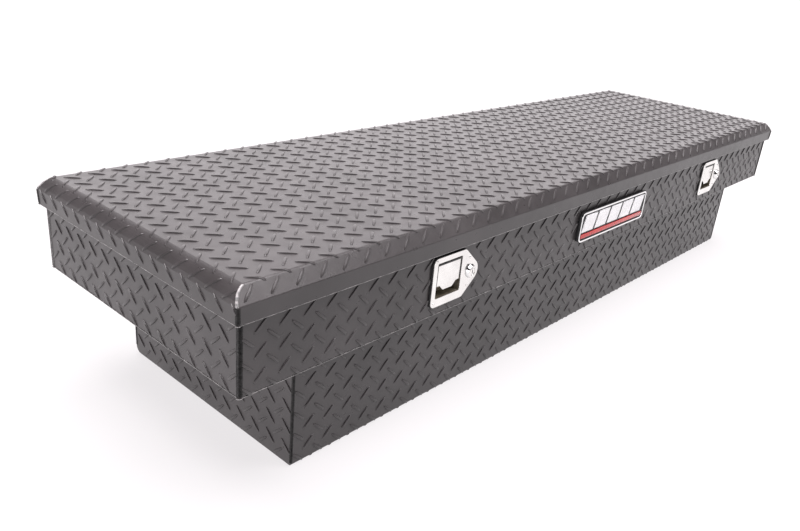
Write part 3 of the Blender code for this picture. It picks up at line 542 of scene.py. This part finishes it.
def setup_lid():
    sides, ends = lid_tread()
    half_x, half_y = LID_HIGH.x, LID_HIGH.y
    flat_x = half_x - BROW
    reach = LUG_LENGTH / 2 * math.cos(LUG_TURN)
    split = flat_x - reach

    def on_sides(u, v):
        z = np.interp(v, sides.reach, sides.points[:, 1])
        edge = half_x - roll_inset(z) - WELD_GAP
        if z < KNEE_Z + 1 * MM:
            return False
        return abs(u) < (edge if abs(v) > half_y - SIDE_BROW else flat_x + 0.02)

    def on_ends(u, v):
        z = np.interp(v, ends.reach, ends.points[:, 1])
        edge = half_y - band_inset(z) - WELD_GAP
        if v > ends.reach[-1] - 2 * MM or v < ends.reach[0] + 2 * MM:
            return False
        return abs(u) < edge

    edge_y = half_y - SIDE_BROW + 2 * MM
    walls = (("top", split, (-edge_y, edge_y)), ("front", half_x, (sides.reach[0], -edge_y)),
             ("back", half_x, (edge_y, sides.reach[-1])))
    for name, limit_x, v_span in walls:
        lug_field(f"lid_tread_{name}", sides, "lid", TOP_PITCH, TOP_PHASE, -LUG_TURN,
                  ((-limit_x, limit_x), v_span), on_sides)
    pitch, end_phase = TOP_PITCH[::-1], TOP_PHASE[::-1]
    lug_field("lid_tread_left", ends, "lid", pitch, end_phase, -math.pi / 2 + LUG_TURN,
              ((-half_y, half_y), (ends.reach[0], -split)), on_ends)
    lug_field("lid_tread_right", ends, "lid", pitch, end_phase, -math.pi / 2 + LUG_TURN,
              ((-half_y, half_y), (split, ends.reach[-1])), on_ends)


def near_hole(x, z, holes):
    return any(x0 < x < x1 and z0 < z < z1 for x0, x1, z0, z1 in holes)


def tub_tread():
    half_x, half_y = TUB_HIGH.x, TUB_HIGH.y
    ledge = LOWER_HIGH.y
    holes = []
    for side in ("left", "right"):
        low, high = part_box(f"latch_dish_{side}")
        margin = 3 * MM
        holes.append((low.x + margin, high.x - margin, low.z + margin, high.z - margin))
    low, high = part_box("badge_base")
    holes.append((low.x + 2 * MM, high.x - 2 * MM, low.z + 2 * MM, high.z - 2 * MM))
    hinge_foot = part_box("hinge_tub_leaf")[0].z

    for name, sign, top in (("front", -1, RIM_Z - 4 * MM), ("back", 1, hinge_foot - 3 * MM)):
        corners = [(sign * ledge, WING_Z), (sign * half_y, WING_Z), (sign * half_y, RIM_Z),
                   (sign * (half_y - FLANGE), RIM_Z)]
        wall = Sheet(corners, (BEND, BEND), "X", (1, 0.25), (0, 0.25))
        start, end = wall.reach[0] + 2 * MM, top

        def on_wall(u, v, wall=wall, start=start, end=end, sign=sign):
            if not start < v < end or abs(u) > half_x - WELD_GAP:
                return False
            return not (sign < 0 and near_hole(u, v, holes))

        lug_field(f"tub_tread_{name}", wall, "tub", FRONT_PITCH, FRONT_PHASE, LUG_TURN,
                  ((-half_x, half_x), (start, end)), on_wall)

    for name, sign in (("left", -1), ("right", 1)):
        corners = [(sign * LOWER_HIGH.x, WING_Z), (sign * half_x, WING_Z), (sign * half_x, RIM_Z),
                   (sign * (half_x - FLANGE), RIM_Z)]
        wing = Sheet(corners, (BEND, BEND), "Y", (1, 0.25), (0, 0.25))
        start, end = wing.reach[0] + 2 * MM, RIM_Z - 4 * MM

        def on_wing(u, v, start=start, end=end):
            limit = (half_y if v > WING_Z else LOWER_HIGH.y) - WELD_GAP
            return start < v < end and abs(u) < limit

        lug_field(f"tub_tread_{name}", wing, "tub", END_PITCH, WING_PHASE,
                  -sign * LUG_TURN, ((-half_y, half_y), (start, end)), on_wing)


def lower_tread():
    half_x, half_y = LOWER_HIGH.x, LOWER_HIGH.y
    corners = [(-half_y, WING_Z), (-half_y, 0.0), (half_y, 0.0), (half_y, WING_Z)]
    tray = Sheet(corners, TRAY_BENDS, "X", (0, 0.0), (0, 0.1))
    # v is zero at the middle of the floor; the front wall's v is counted from there.
    rise = half_y - 2 * BEND * (1 - math.pi / 4)

    def on_tray(u, v):
        return abs(u) < half_x - WELD_GAP and abs(v) < rise + WING_Z - 4 * MM

    first_x, first_z = LOWER_PHASE
    walls = (("front", (-rise - WING_Z, -rise + 8 * MM), -rise - first_z),
             ("back", (rise - 8 * MM, rise + WING_Z), rise + first_z),
             ("floor", (-rise + 12 * MM, rise - 12 * MM), 0.0))
    for name, v_span, first_v in walls:
        turn = LUG_TURN if name == "back" else -LUG_TURN
        lug_field(f"lower_tread_{name}", tray, "tub", LOWER_PITCH, (first_x, first_v), turn,
                  ((-half_x, half_x), v_span), on_tray)
    for name, sign in (("left", -1), ("right", 1)):
        plate = Sheet([(sign * half_x, 0.0), (sign * half_x, WING_Z)], (), "Y", (1, 0.1), (0, 0.1))

        def on_plate(u, v):
            return abs(u) < half_y - WELD_GAP and 5 * MM < v < WING_Z - 3 * MM

        lug_field(f"lower_tread_{name}", plate, "tub", END_PITCH, PLATE_PHASE,
                  -sign * LUG_TURN, ((-half_y, half_y), (0.0, WING_Z)), on_plate)


setup_lid()
tub_tread()
lower_tread()


# ---------------------------------------------------------------- turned and swept detail
def turned(profile, at, toward, sides=18):
    """A turned shape: (radius, height) pairs spun about the line from `at` along `toward`."""
    spin = Vector(toward).normalized().to_track_quat("Z", "Y").to_matrix()
    verts, faces = [], []
    for radius, height in profile:
        for k in range(sides):
            angle = 2 * math.pi * k / sides
            spot = Vector((radius * math.cos(angle), radius * math.sin(angle), height))
            verts.append(Vector(at) + spin @ spot)
    rows = len(profile)
    for row in range(rows - 1):
        for k in range(sides):
            nxt = (k + 1) % sides
            faces.append((row * sides + k, row * sides + nxt,
                          (row + 1) * sides + nxt, (row + 1) * sides + k))
    faces.append(tuple(reversed(range(sides))))
    faces.append(tuple((rows - 1) * sides + k for k in range(sides)))
    return verts, faces


def dome(at, toward, radius, height):
    """A rivet's round head."""
    shape = ((1.0, -0.35), (1.0, 0.12), (0.90, 0.50), (0.68, 0.80), (0.36, 0.96), (0.06, 1.0))
    return turned([(radius * r, height * h) for r, h in shape], at, toward, 14)


BEAD_RING = 9


def corner_bead(path, outward, half, rise, pitch, wobble):
    """A weld bead over a sharp corner: ripples along the path, each one bowed like a scale."""
    path, outward = np.array(path, float), np.array(outward, float)
    run = np.concatenate([[0.0], np.cumsum(np.linalg.norm(np.diff(path, axis=0), axis=1))])
    count = max(8, int(run[-1] / (pitch / 6)))
    at = np.linspace(0.0, run[-1], count + 1)
    spine = np.stack([np.interp(at, run, path[:, k]) for k in range(3)], -1)
    lift = np.stack([np.interp(at, run, outward[:, k]) for k in range(3)], -1)
    lift /= np.linalg.norm(lift, axis=1)[:, None]
    way = np.gradient(spine, axis=0)
    side = np.cross(way, lift)
    side /= np.linalg.norm(side, axis=1)[:, None]
    radius = (half ** 2 + (half + rise) ** 2) / (2 * (half + rise))
    spread = math.asin(min(1.0, half / radius)) + 0.25
    turn = np.linspace(-spread, spread, BEAD_RING)
    jitter = np.array([random.uniform(0.7, 1.3) for _ in range(int(run[-1] / pitch) + 3)])
    phase = at[:, None] / pitch + 0.55 * (turn / spread) ** 2
    scale = phase - np.floor(phase)
    swell = radius * (1 + wobble * jitter[np.floor(phase).astype(int)] * (0.5 - scale ** 1.6))
    ends = np.minimum(1.0, np.minimum(at, run[-1] - at) / pitch + 0.35)[:, None]
    verts = (spine[:, None, :] + side[:, None, :] * (swell * np.sin(turn) * ends)[..., None]
             + lift[:, None, :] * (swell * np.cos(turn) * ends + rise - radius)[..., None])
    faces = []
    for row in range(count):
        for k in range(BEAD_RING):
            nxt = (k + 1) % BEAD_RING
            faces.append((row * BEAD_RING + k, row * BEAD_RING + nxt,
                          (row + 1) * BEAD_RING + nxt, (row + 1) * BEAD_RING + k))
    faces.append(tuple(range(BEAD_RING - 1, -1, -1)))
    faces.append(tuple(count * BEAD_RING + k for k in range(BEAD_RING)))
    return [tuple(v) for v in verts.reshape(-1, 3)], faces


def corners_of(half_x, half_y):
    """The four upright corners with their short names."""
    for x_name, x_sign in (("left", -1), ("right", 1)):
        for y_name, y_sign in (("front", -1), ("back", 1)):
            yield f"{y_name}_{x_name}", x_sign, y_sign, x_sign * half_x, y_sign * half_y


TUB_BEAD = (3.9 * MM, 0.45 * MM)       # half width and rise
LOWER_BEAD = (2.4 * MM, 0.30 * MM)
SKIRT_BEAD = (3.2 * MM, 0.40 * MM)
SEAM_BEAD = (1.8 * MM, 0.40 * MM)
PADDLE_SHADOW = (2.4 * MM, 2.6 * MM, 1.6 * MM)    # painted shadow round a paddle: width at the left, the head and the right


def welds():
    """Beads down every corner of the lid, the upper tub and the lower body."""
    # The skirt, lower body and front tub beads take the weld coat, painted darker as painted shade.
    for name, sx, sy, x, y in corners_of(TUB_HIGH.x, TUB_HIGH.y):
        off = (sx, sy, 0)
        bead = corner_bead([(x, y, WING_Z + 1.2 * MM), (x, y, RIM_Z - 1.0 * MM)], [off, off],
                           *TUB_BEAD, 2.3 * MM, 0.19)
        # Front corners take the darker weld coat (painted shade); back corners keep the plain coat.
        parts_piece(f"tub_weld_{name}", [bead], WELD_SHADE if sy < 0 else POWDER, "tub",
                    50.0)
    for name, sx, sy, x, y in corners_of(LOWER_HIGH.x, LOWER_HIGH.y):
        off = (sx, sy, 0)
        foot = TRAY_BENDS[0 if sy < 0 else 1] + 0.5 * MM
        bead = corner_bead([(x, y, foot), (x, y, WING_Z - 1.0 * MM)], [off, off],
                           *LOWER_BEAD, 2.0 * MM, 0.20)
        parts_piece(f"lower_weld_{name}", [bead], WELD_SHADE, "tub", 50.0)
    for name, sx, sy, x, y in corners_of(LID_HIGH.x, LID_HIGH.y):
        off = (sx, sy, 0)
        tuck_y = LID_TUCK if sy < 0 else 0.0
        skirt = corner_bead([(x - sx * LID_TUCK, y - sy * tuck_y, LID_LOW.z + 1.0 * MM),
                             (x, y, KNEE_Z + 0.5 * MM)], [off, off], *SKIRT_BEAD, 2.1 * MM, 0.19)
        parts_piece(f"lid_skirt_weld_{name}", [skirt], WELD_SHADE, "lid", 50.0)
        path, lifts = [], []
        for k in range(13):
            z = KNEE_Z + BROW * k / 12
            end_in, side_in = roll_inset(z), band_inset(z)
            path.append((x - sx * end_in, y - sy * side_in, z))
            lean = math.acos(min(1.0, max(0.0, (ROLL_HUB - end_in) / END_ROUND)))
            end_out = Vector((sx * math.cos(lean), 0.0, math.sin(lean)))
            side_out = Vector((0.0, sy * BROW, SIDE_BROW)).normalized()
            lifts.append(tuple((end_out + side_out).normalized()))
        seam = corner_bead(path, lifts, *SEAM_BEAD, 2.6 * MM, 0.10)
        # The seams take the light seam coat, a painted highlight.
        parts_piece(f"lid_seam_weld_{name}", [seam], SEAM_HIGHLIGHT, "lid", 50.0)


def plan_ring(half_x, low_y, high_y, radius, depth, out):
    """Points and outward ways round a rectangle whose corners wrap a bead of a given radius."""
    wrap = math.acos(min(1.0, (depth + out) / radius)) if radius > depth + out else 0.0
    points, ways = [], []
    for turn, x, y in ((225, -half_x, low_y), (315, half_x, low_y),
                       (45, half_x, high_y), (135, -half_x, high_y)):
        mid = math.radians(turn)
        hub = (x - math.copysign(depth, x), y - math.copysign(depth, y))
        reach = math.pi / 4 + wrap
        for k in range(13):
            angle = mid - reach + 2 * reach * k / 12
            points.append((hub[0] + radius * math.cos(angle), hub[1] + radius * math.sin(angle)))
            level = min(max(angle, mid - math.pi / 4), mid + math.pi / 4)
            ways.append((math.cos(level), math.sin(level)))
    return points, ways


def hem(name, ring, foot_z, section, body):
    """A thin edge run round a ring; the section is (out, up) pairs."""
    points, ways = ring
    count, size = len(points), len(section)
    verts = [(p[0] + w[0] * out, p[1] + w[1] * out, foot_z + up)
             for p, w in zip(points, ways) for out, up in section]
    faces = [(i * size + k, ((i + 1) % count) * size + k,
              ((i + 1) % count) * size + (k + 1) % size, i * size + (k + 1) % size)
             for i in range(count) for k in range(size)]
    mesh = outward_faces(mesh_from(name, verts, faces))
    return add_piece(name, mesh, EDGE_WEAR_AND_HIGHLIGHT, body, 35.0)


LIP_SECTION = [(-1.9 * MM, -0.20 * MM), (0.0, -0.20 * MM), (0.12 * MM, 0.05 * MM),
               (0.12 * MM, 0.60 * MM), (-0.25 * MM, 0.85 * MM), (-1.9 * MM, 0.85 * MM)]
FOOT_SECTION = [(-3.6 * MM, -0.15 * MM), (0.0, -0.15 * MM), (0.12 * MM, 0.05 * MM),
                (0.12 * MM, 0.75 * MM), (-0.25 * MM, 1.00 * MM), (-3.6 * MM, 1.00 * MM)]


def hems():
    # Both hems take the edge colour: worn coat and a painted highlight.
    half, rise = TUB_BEAD
    radius = (half ** 2 + (half + rise) ** 2) / (2 * (half + rise))
    depth = (radius - rise) / math.sqrt(2)
    ring = plan_ring(TUB_HIGH.x, -TUB_HIGH.y, TUB_HIGH.y, radius + 0.30 * MM, depth, 0.15 * MM)
    hem("tub_hem", ring, WING_Z, FOOT_SECTION, "tub")
    half, rise = SKIRT_BEAD
    radius = (half ** 2 + (half + rise) ** 2) / (2 * (half + rise))
    depth = (radius - rise) / math.sqrt(2)
    ring = plan_ring(LID_HIGH.x - LID_TUCK, -LID_HIGH.y + LID_TUCK, LID_HIGH.y,
                     radius + 0.25 * MM, depth, 0.15 * MM)
    hem("lid_hem", ring, LID_LOW.z, LIP_SECTION, "lid")


# ---------------------------------------------------------------- fasteners and fittings
def on_latch(side, across, out, up):
    """A place on a latch, counted from the middle of its plate on the wall's face."""
    x = {"left": -LATCH_X, "right": LATCH_X}[side] + across
    return x, -TUB_HIGH.y + out, LATCH_Z + up


def latch_fittings(side):
    """Four rivets through the plate, the lock's stepped face and its key slot."""
    face = TUB_HIGH.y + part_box(f"latch_dish_{side}")[0].y
    rivets = [dome(on_latch(side, across, face, up), (0, -1, 0), *RIVET_HEAD)
              for across, up in LATCH_RIVETS]
    parts_piece(f"latch_rivets_{side}", rivets, STAINLESS, "tub")
    low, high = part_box(f"lock_cylinder_{side}")
    middle = Vector(((low.x + high.x) / 2, low.y, (low.z + high.z) / 2))
    ring = [(6.5, 1.2), (6.5, -0.25), (7.3, -0.55), (8.6, -0.55), (9.2, -0.1), (9.2, 1.2)]
    lip = turned([(r * MM, -h * MM) for r, h in ring], middle, (0, -1, 0), 40)
    lip = (lip[0], lip[1][:-2] + [(k, (k + 1) % 40, 200 + (k + 1) % 40, 200 + k)
                                  for k in range(40)])
    parts_piece(f"lock_lip_{side}", [lip], STAINLESS, "tub")
    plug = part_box(f"lock_plug_{side}")[0].y
    steps = [(5.85, -0.6), (5.85, 0.30), (5.4, 0.55), (4.6, 0.55), (4.4, 0.30), (0.2, 0.30)]
    disc = turned([(r * MM, h * MM) for r, h in steps], (middle.x, plug, middle.z), (0, -1, 0), 36)
    parts_piece(f"lock_face_{side}", [disc], STAINLESS, f"lock_body_{side}")
    # A black slot shape on the plug face: painted shade standing for the keyway's hole.
    slot = []
    for k in range(16):
        angle = 2 * math.pi * k / 16
        z = 0.75 * MM * math.sin(angle) + math.copysign(2.6 * MM, math.sin(angle) + 1e-9)
        slot.append((0.75 * MM * math.cos(angle), z))
    verts = [(middle.x + x, plug - y * MM, middle.z + z) for y in (0.1, 0.42) for x, z in slot]
    faces = [tuple(range(16)), tuple(range(31, 15, -1))]
    faces += [(k, (k + 1) % 16, 16 + (k + 1) % 16, 16 + k) for k in range(16)]
    parts_piece(f"key_slot_shade_{side}", [(verts, faces)], PAINT, f"lock_body_{side}")


def paddle_shadow_strip(side):
    """A dark strip round the head and the two sides of a paddle: painted shadow of the step between
    paddle and plate.
    """
    node = NODES[f"paddle_{side}"]
    world = [node.matrix_world @ v.co for v in node.data.vertices]
    front = min(p.y for p in world)
    face = [p for p in world if p.y < front + 0.5 * MM]
    left, right = min(p.x for p in face), max(p.x for p in face)
    top = max(p.z for p in face)
    foot_left = min(p.z for p in face if p.x < left + 3 * MM) + 1 * MM
    foot_right = min(p.z for p in face if p.x > right - 3 * MM) + 1 * MM
    outer = [(left, foot_left), (left, top), (right, top), (right, foot_right)]
    inner = [(left + PADDLE_SHADOW[0], foot_left), (left + PADDLE_SHADOW[0], top - PADDLE_SHADOW[1]),
             (right - PADDLE_SHADOW[2], top - PADDLE_SHADOW[1]), (right - PADDLE_SHADOW[2], foot_right)]
    verts = [(x, front + y, z) for y in (0.2 * MM, -0.1 * MM) for x, z in outer + inner]
    verts += [(x + (mx - x) * 0.3, front - 0.3 * MM, z + (mz - z) * 0.3)
              for (x, z), (mx, mz) in zip(outer + inner, inner + outer)]
    faces = []
    for k in range(3):
        faces.append((k, k + 1, k + 5, k + 4))
        faces.append((16 + k, 16 + k + 1, 20 + k + 1, 20 + k))
        for low, high in ((0, 8), (8, 16)):
            faces.append((low + k, low + k + 1, high + k + 1, high + k))
            faces.append((low + 4 + k, low + 4 + k + 1, high + 4 + k + 1, high + 4 + k))
    for k in (0, 3):
        for low, high in ((0, 8), (8, 16)):
            faces.append((low + k, low + k + 4, high + k + 4, high + k))
    parts_piece(f"paddle_shadow_strip_{side}", [(verts, faces)], PAINT, node["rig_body"])


def rows_of(low, high, count):
    return [low + (high - low) * k / (count - 1) for k in range(count)]


def fasteners():
    """The rivets of both hinge leaves and the studs of the ribs."""
    low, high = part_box("hinge_tub_leaf")
    leaf_face = TUB_HIGH.y + LEAF_GAP + LEAF
    run = rows_of(low.x + HINGE_RIVET_END, high.x - HINGE_RIVET_END, HINGE_RIVETS)
    parts_piece("hinge_rivets_tub",
                [dome((x, leaf_face, low.z + 4.6 * MM), (0, 1, 0), *TUB_RIVET_HEAD) for x in run],
                ZINC, "tub")
    parts_piece("hinge_rivets_lid",
                [dome((x, LID_HIGH.y, LID_LOW.z + 9 * MM), (0, 1, 0), *LID_RIVET_HEAD)
                 for x in run], PAINT, "lid")
    for name in ("left", "middle", "right"):
        low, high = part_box(f"lid_rib_{name}")
        flange_z = high.z - LEAF
        studs = [dome((x, y, flange_z), (0, 0, -1), *STUD_HEAD)
                 for x in (low.x + STUD_INSET[0], high.x - STUD_INSET[0])
                 for y in rows_of(low.y + STUD_INSET[1], high.y - STUD_INSET[1], STUDS_PER_ROW)]
        parts_piece(f"rib_studs_{name}", studs, ZINC, "lid")


def strut_gland(side):
    """The gland ring where the rod leaves the cylinder."""
    cylinder = NODES[f"strut_cylinder_{side}"]
    rod_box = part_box(f"strut_rod_{side}")
    low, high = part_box(f"strut_cylinder_{side}")
    x = (low.x + high.x) / 2
    way = Vector((0.0, rod_box[0].y - rod_box[1].y, rod_box[1].z - rod_box[0].z)).normalized()
    middle = Vector((x, (rod_box[0].y + rod_box[1].y) / 2, (rod_box[0].z + rod_box[1].z) / 2))
    world = cylinder.matrix_world
    top = max((world @ v.co - middle).dot(way) for v in cylinder.data.vertices)
    gland = [(4.6, -1.5), (9.3, -1.5), (9.5, -0.9), (9.5, 0.2), (8.8, 1.1), (6.2, 1.8), (4.6, 1.8)]
    shape = turned([(r * MM, h * MM) for r, h in gland], middle + way * top, way, 28)
    shape = (shape[0], shape[1][:-2] + [(k, (k + 1) % 28, 168 + (k + 1) % 28, 168 + k)
                                        for k in range(28)])
    parts_piece(f"strut_gland_{side}", [shape], CHROME, f"strut_base_{side}")


# ---------------------------------------------------------------- eased copies and fillings
EASED = {"badge_base": 1.2 * MM, "badge_frame": 0.5 * MM, "badge_stripe": 0.4 * MM,
         "latch_dish_left": 0.35 * MM, "latch_dish_right": 0.35 * MM,
         "paddle_left": 0.35 * MM, "paddle_right": 0.35 * MM,
         "latch_gasket_left": 0.5 * MM, "latch_gasket_right": 0.5 * MM,
         "striker_left": 0.35 * MM, "striker_right": 0.35 * MM,
         "hook_left": 0.3 * MM, "hook_right": 0.3 * MM,
         "lid_rib_left": 0.25 * MM, "lid_rib_middle": 0.25 * MM, "lid_rib_right": 0.25 * MM,
         "strut_tub_bracket_left": 0.3 * MM, "strut_tub_bracket_right": 0.3 * MM,
         "strut_lid_bracket_left": 0.3 * MM, "strut_lid_bracket_right": 0.3 * MM}


def slot_of(node_name):
    rows = frame["record"]["subparts"]
    return next(row["material_slot"] for row in rows if row["node"] == node_name)


def eased(node_name, width):
    """A copy of a CAD node with its hard edges broken by a small bevel, shown in its stead."""
    node = NODES[node_name]
    bm = bmesh.new()
    bm.from_mesh(node.data)
    bmesh.ops.remove_doubles(bm, verts=bm.verts, dist=0.002 * MM)
    bmesh.ops.dissolve_limit(bm, angle_limit=math.radians(0.6), verts=bm.verts, edges=bm.edges)
    hard = [e for e in bm.edges if len(e.link_faces) == 2 and e.calc_face_angle(0.0) > 0.6]
    bmesh.ops.bevel(bm, geom=hard, offset=width, segments=2, profile=0.6, affect="EDGES",
                    clamp_overlap=True)
    mesh = bpy.data.meshes.new(f"{node_name}_eased")
    bm.to_mesh(mesh)
    bm.free()
    slot = slot_of(node_name)
    piece = add_piece(f"{node_name}_eased", mesh, FINISHES[slot], node["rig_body"], 32.0)
    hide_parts(node_name)


PAN_X, PAN_OUT, PAN_Z = (-28.5 * MM, 30.0 * MM), (-3.0 * MM, 13.0 * MM), (-26.5 * MM, 35.0 * MM)


def latch_pan_shade(side):
    """A dark lining in a latch's pan, painted shade for the recess: five thin walls, open to the
    front.
    """
    verts = []
    for inset, back in ((0.05 * MM, 0.05 * MM), (0.25 * MM, 0.25 * MM)):
        for out in (PAN_OUT[0] + 0.05 * MM, PAN_OUT[1] - back):
            for across, up in ((0, 0), (1, 0), (1, 1), (0, 1)):
                x = PAN_X[across] + (inset if across == 0 else -inset)
                z = PAN_Z[up] + (inset if up == 0 else -inset)
                verts.append(on_latch(side, x, out, z))
    faces = []
    for k in range(4):
        nxt = (k + 1) % 4
        faces.append((k, nxt, 4 + nxt, 4 + k))
        faces.append((8 + k, 12 + k, 12 + nxt, 8 + nxt))
        faces.append((k, 8 + k, 8 + nxt, nxt))
    faces += [(4, 5, 6, 7), (15, 14, 13, 12)]
    parts_piece(f"latch_shade_lining_{side}", [(verts, faces)], PAN_SHADE, "tub")


def badge_bars():
    """The badge's field as a row of slanted bright bars."""
    low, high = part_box("badge_field")
    lean, gap, bars = 11 * MM, 7 * MM, 5
    wide = (high.x - low.x - lean - gap * (bars - 1)) / bars
    base_y, brim = high.y + 0.1 * MM, low.y
    parts = []
    for k in range(bars):
        x0 = low.x + k * (wide + gap)
        outline = [(x0, low.z), (x0 + wide, low.z), (x0 + wide + lean, high.z), (x0 + lean, high.z)]
        middle = Vector(((x0 * 2 + wide + lean) / 2, (low.z + high.z) / 2))
        verts = []
        for y, shrink in ((base_y, 0.0), (brim, 0.0), (brim - 0.35 * MM, 0.6 * MM)):
            for x, z in outline:
                way = Vector((math.copysign(1, x - middle.x), math.copysign(1, z - middle.y)))
                verts.append((x - way.x * shrink, y, z - way.y * shrink))
        faces = [(0, 1, 2, 3), (11, 10, 9, 8)]
        faces += [(r * 4 + j, r * 4 + (j + 1) % 4, r * 4 + 4 + (j + 1) % 4, r * 4 + 4 + j)
                  for r in range(2) for j in range(4)]
        parts.append((verts, faces))
    piece = parts_piece("badge_bars", parts, SILVER, "tub", 25.0)
    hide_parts("badge_field")


# ---------------------------------------------------------------- CAD finishes
def dress_cad_nodes():
    slots = {row["node"]: row["material_slot"] for row in frame["record"]["subparts"]}
    for name, node in NODES.items():
        mat = FINISHES[slots[name]]
        if not node.material_slots:
            node.data.materials.append(mat)
        for place in node.material_slots:
            place.material = mat
        smooth_by_angle(node.data, 30.0)


dress_cad_nodes()
welds()
hems()
fasteners()
badge_bars()
for latch_side in ("left", "right"):
    latch_fittings(latch_side)
    latch_pan_shade(latch_side)
for shadow_side in ("left", "right"):
    paddle_shadow_strip(shadow_side)
for strut_side in ("left", "right"):
    strut_gland(strut_side)
for eased_node, eased_width in EASED.items():
    eased(eased_node, eased_width)


# ---------------------------------------------------------------- floor, light, camera
def floor():
    turns = [2 * math.pi * k / FLOOR_SIDES for k in range(FLOOR_SIDES)]
    rim = [(FLOOR_REACH * math.cos(turn), FLOOR_REACH * math.sin(turn), 0.0) for turn in turns]
    mesh = mesh_from("floor", rim, [tuple(range(FLOOR_SIDES))])
    look = Look("floor_paper", (0.15, 0.15, 0.15), 0.8, Specular_IOR_Level=0.1,
                Emission_Color=(1.0, 0.97, 0.985, 1.0), Emission_Strength=0.78)
    look.drive("Roughness", look.spread(look.noise(3.0), 0.75, 0.85))
    mesh.materials.append(look.mat)
    obj = bpy.data.objects.new("floor", mesh)
    bpy.context.scene.collection.objects.link(obj)
    obj.location.z = -FLOOR_DROP


def sun(name, toward, spread, strength):
    """A soft light from far away; `toward` points at it and spread is its width in degrees."""
    data = bpy.data.lights.new(name, "SUN")
    data.angle = math.radians(spread)
    data.energy = strength
    data.color = LIGHT_TINT
    obj = bpy.data.objects.new(name, data)
    bpy.context.scene.collection.objects.link(obj)
    obj.rotation_euler = Vector(toward).to_track_quat("Z", "Y").to_euler()


def studio():
    world = bpy.data.worlds.new("studio")
    bpy.context.scene.world = world
    world.use_nodes = True
    tree = world.node_tree
    back = tree.nodes["Background"]
    aim = tree.nodes.new("ShaderNodeTexCoord").outputs["Generated"]
    back.inputs["Color"].default_value = (*LIGHT_TINT, 1.0)

    def glow(toward, near, far, bright, dim):
        """Brightness that fades as the sky turns toward a direction."""
        lean = tree.nodes.new("ShaderNodeVectorMath")
        lean.operation = "DOT_PRODUCT"
        lean.inputs[1].default_value = toward
        tree.links.new(aim, lean.inputs[0])
        fade = tree.nodes.new("ShaderNodeMapRange")
        fade.interpolation_type = "SMOOTHSTEP"
        fade.inputs["From Min"].default_value = near
        fade.inputs["From Max"].default_value = far
        fade.inputs["To Min"].default_value = bright
        fade.inputs["To Max"].default_value = dim
        tree.links.new(lean.outputs["Value"], fade.inputs["Value"])
        return fade.outputs["Result"]

    both = tree.nodes.new("ShaderNodeMath")
    both.operation = "MAXIMUM"
    tree.links.new(glow(*SKY_LEAN), both.inputs[0])
    tree.links.new(glow(*SKY_RIM), both.inputs[1])
    shaded = tree.nodes.new("ShaderNodeMath")
    shaded.operation = "MULTIPLY"
    tree.links.new(both.outputs["Value"], shaded.inputs[0])
    tree.links.new(glow(*SKY_BACK), shaded.inputs[1])
    # The uneven sky lights the box, and the view past the box stays an even pale tone.
    even = tree.nodes.new("ShaderNodeMath")
    even.operation = "MAXIMUM"
    seen = tree.nodes.new("ShaderNodeLightPath").outputs["Is Camera Ray"]
    tree.links.new(shaded.outputs["Value"], even.inputs[0])
    tree.links.new(seen, even.inputs[1])
    tree.links.new(even.outputs["Value"], back.inputs["Strength"])
    for name, beam in SUNS.items():
        sun(name, *beam)


def camera():
    data = bpy.data.cameras.new("camera")
    data.lens = LENS
    data.sensor_width = 36.0
    data.shift_x = -0.0023
    data.shift_y = 0.0020
    data.clip_start = 0.05
    obj = bpy.data.objects.new("camera", data)
    bpy.context.scene.collection.objects.link(obj)
    obj.location = CAMERA_AT
    obj.rotation_euler = Euler([math.radians(a) for a in CAMERA_TURN], "XYZ")
    bpy.context.scene.camera = obj


bpy.context.scene.view_settings.view_transform = "Standard"
floor()
studio()
camera()
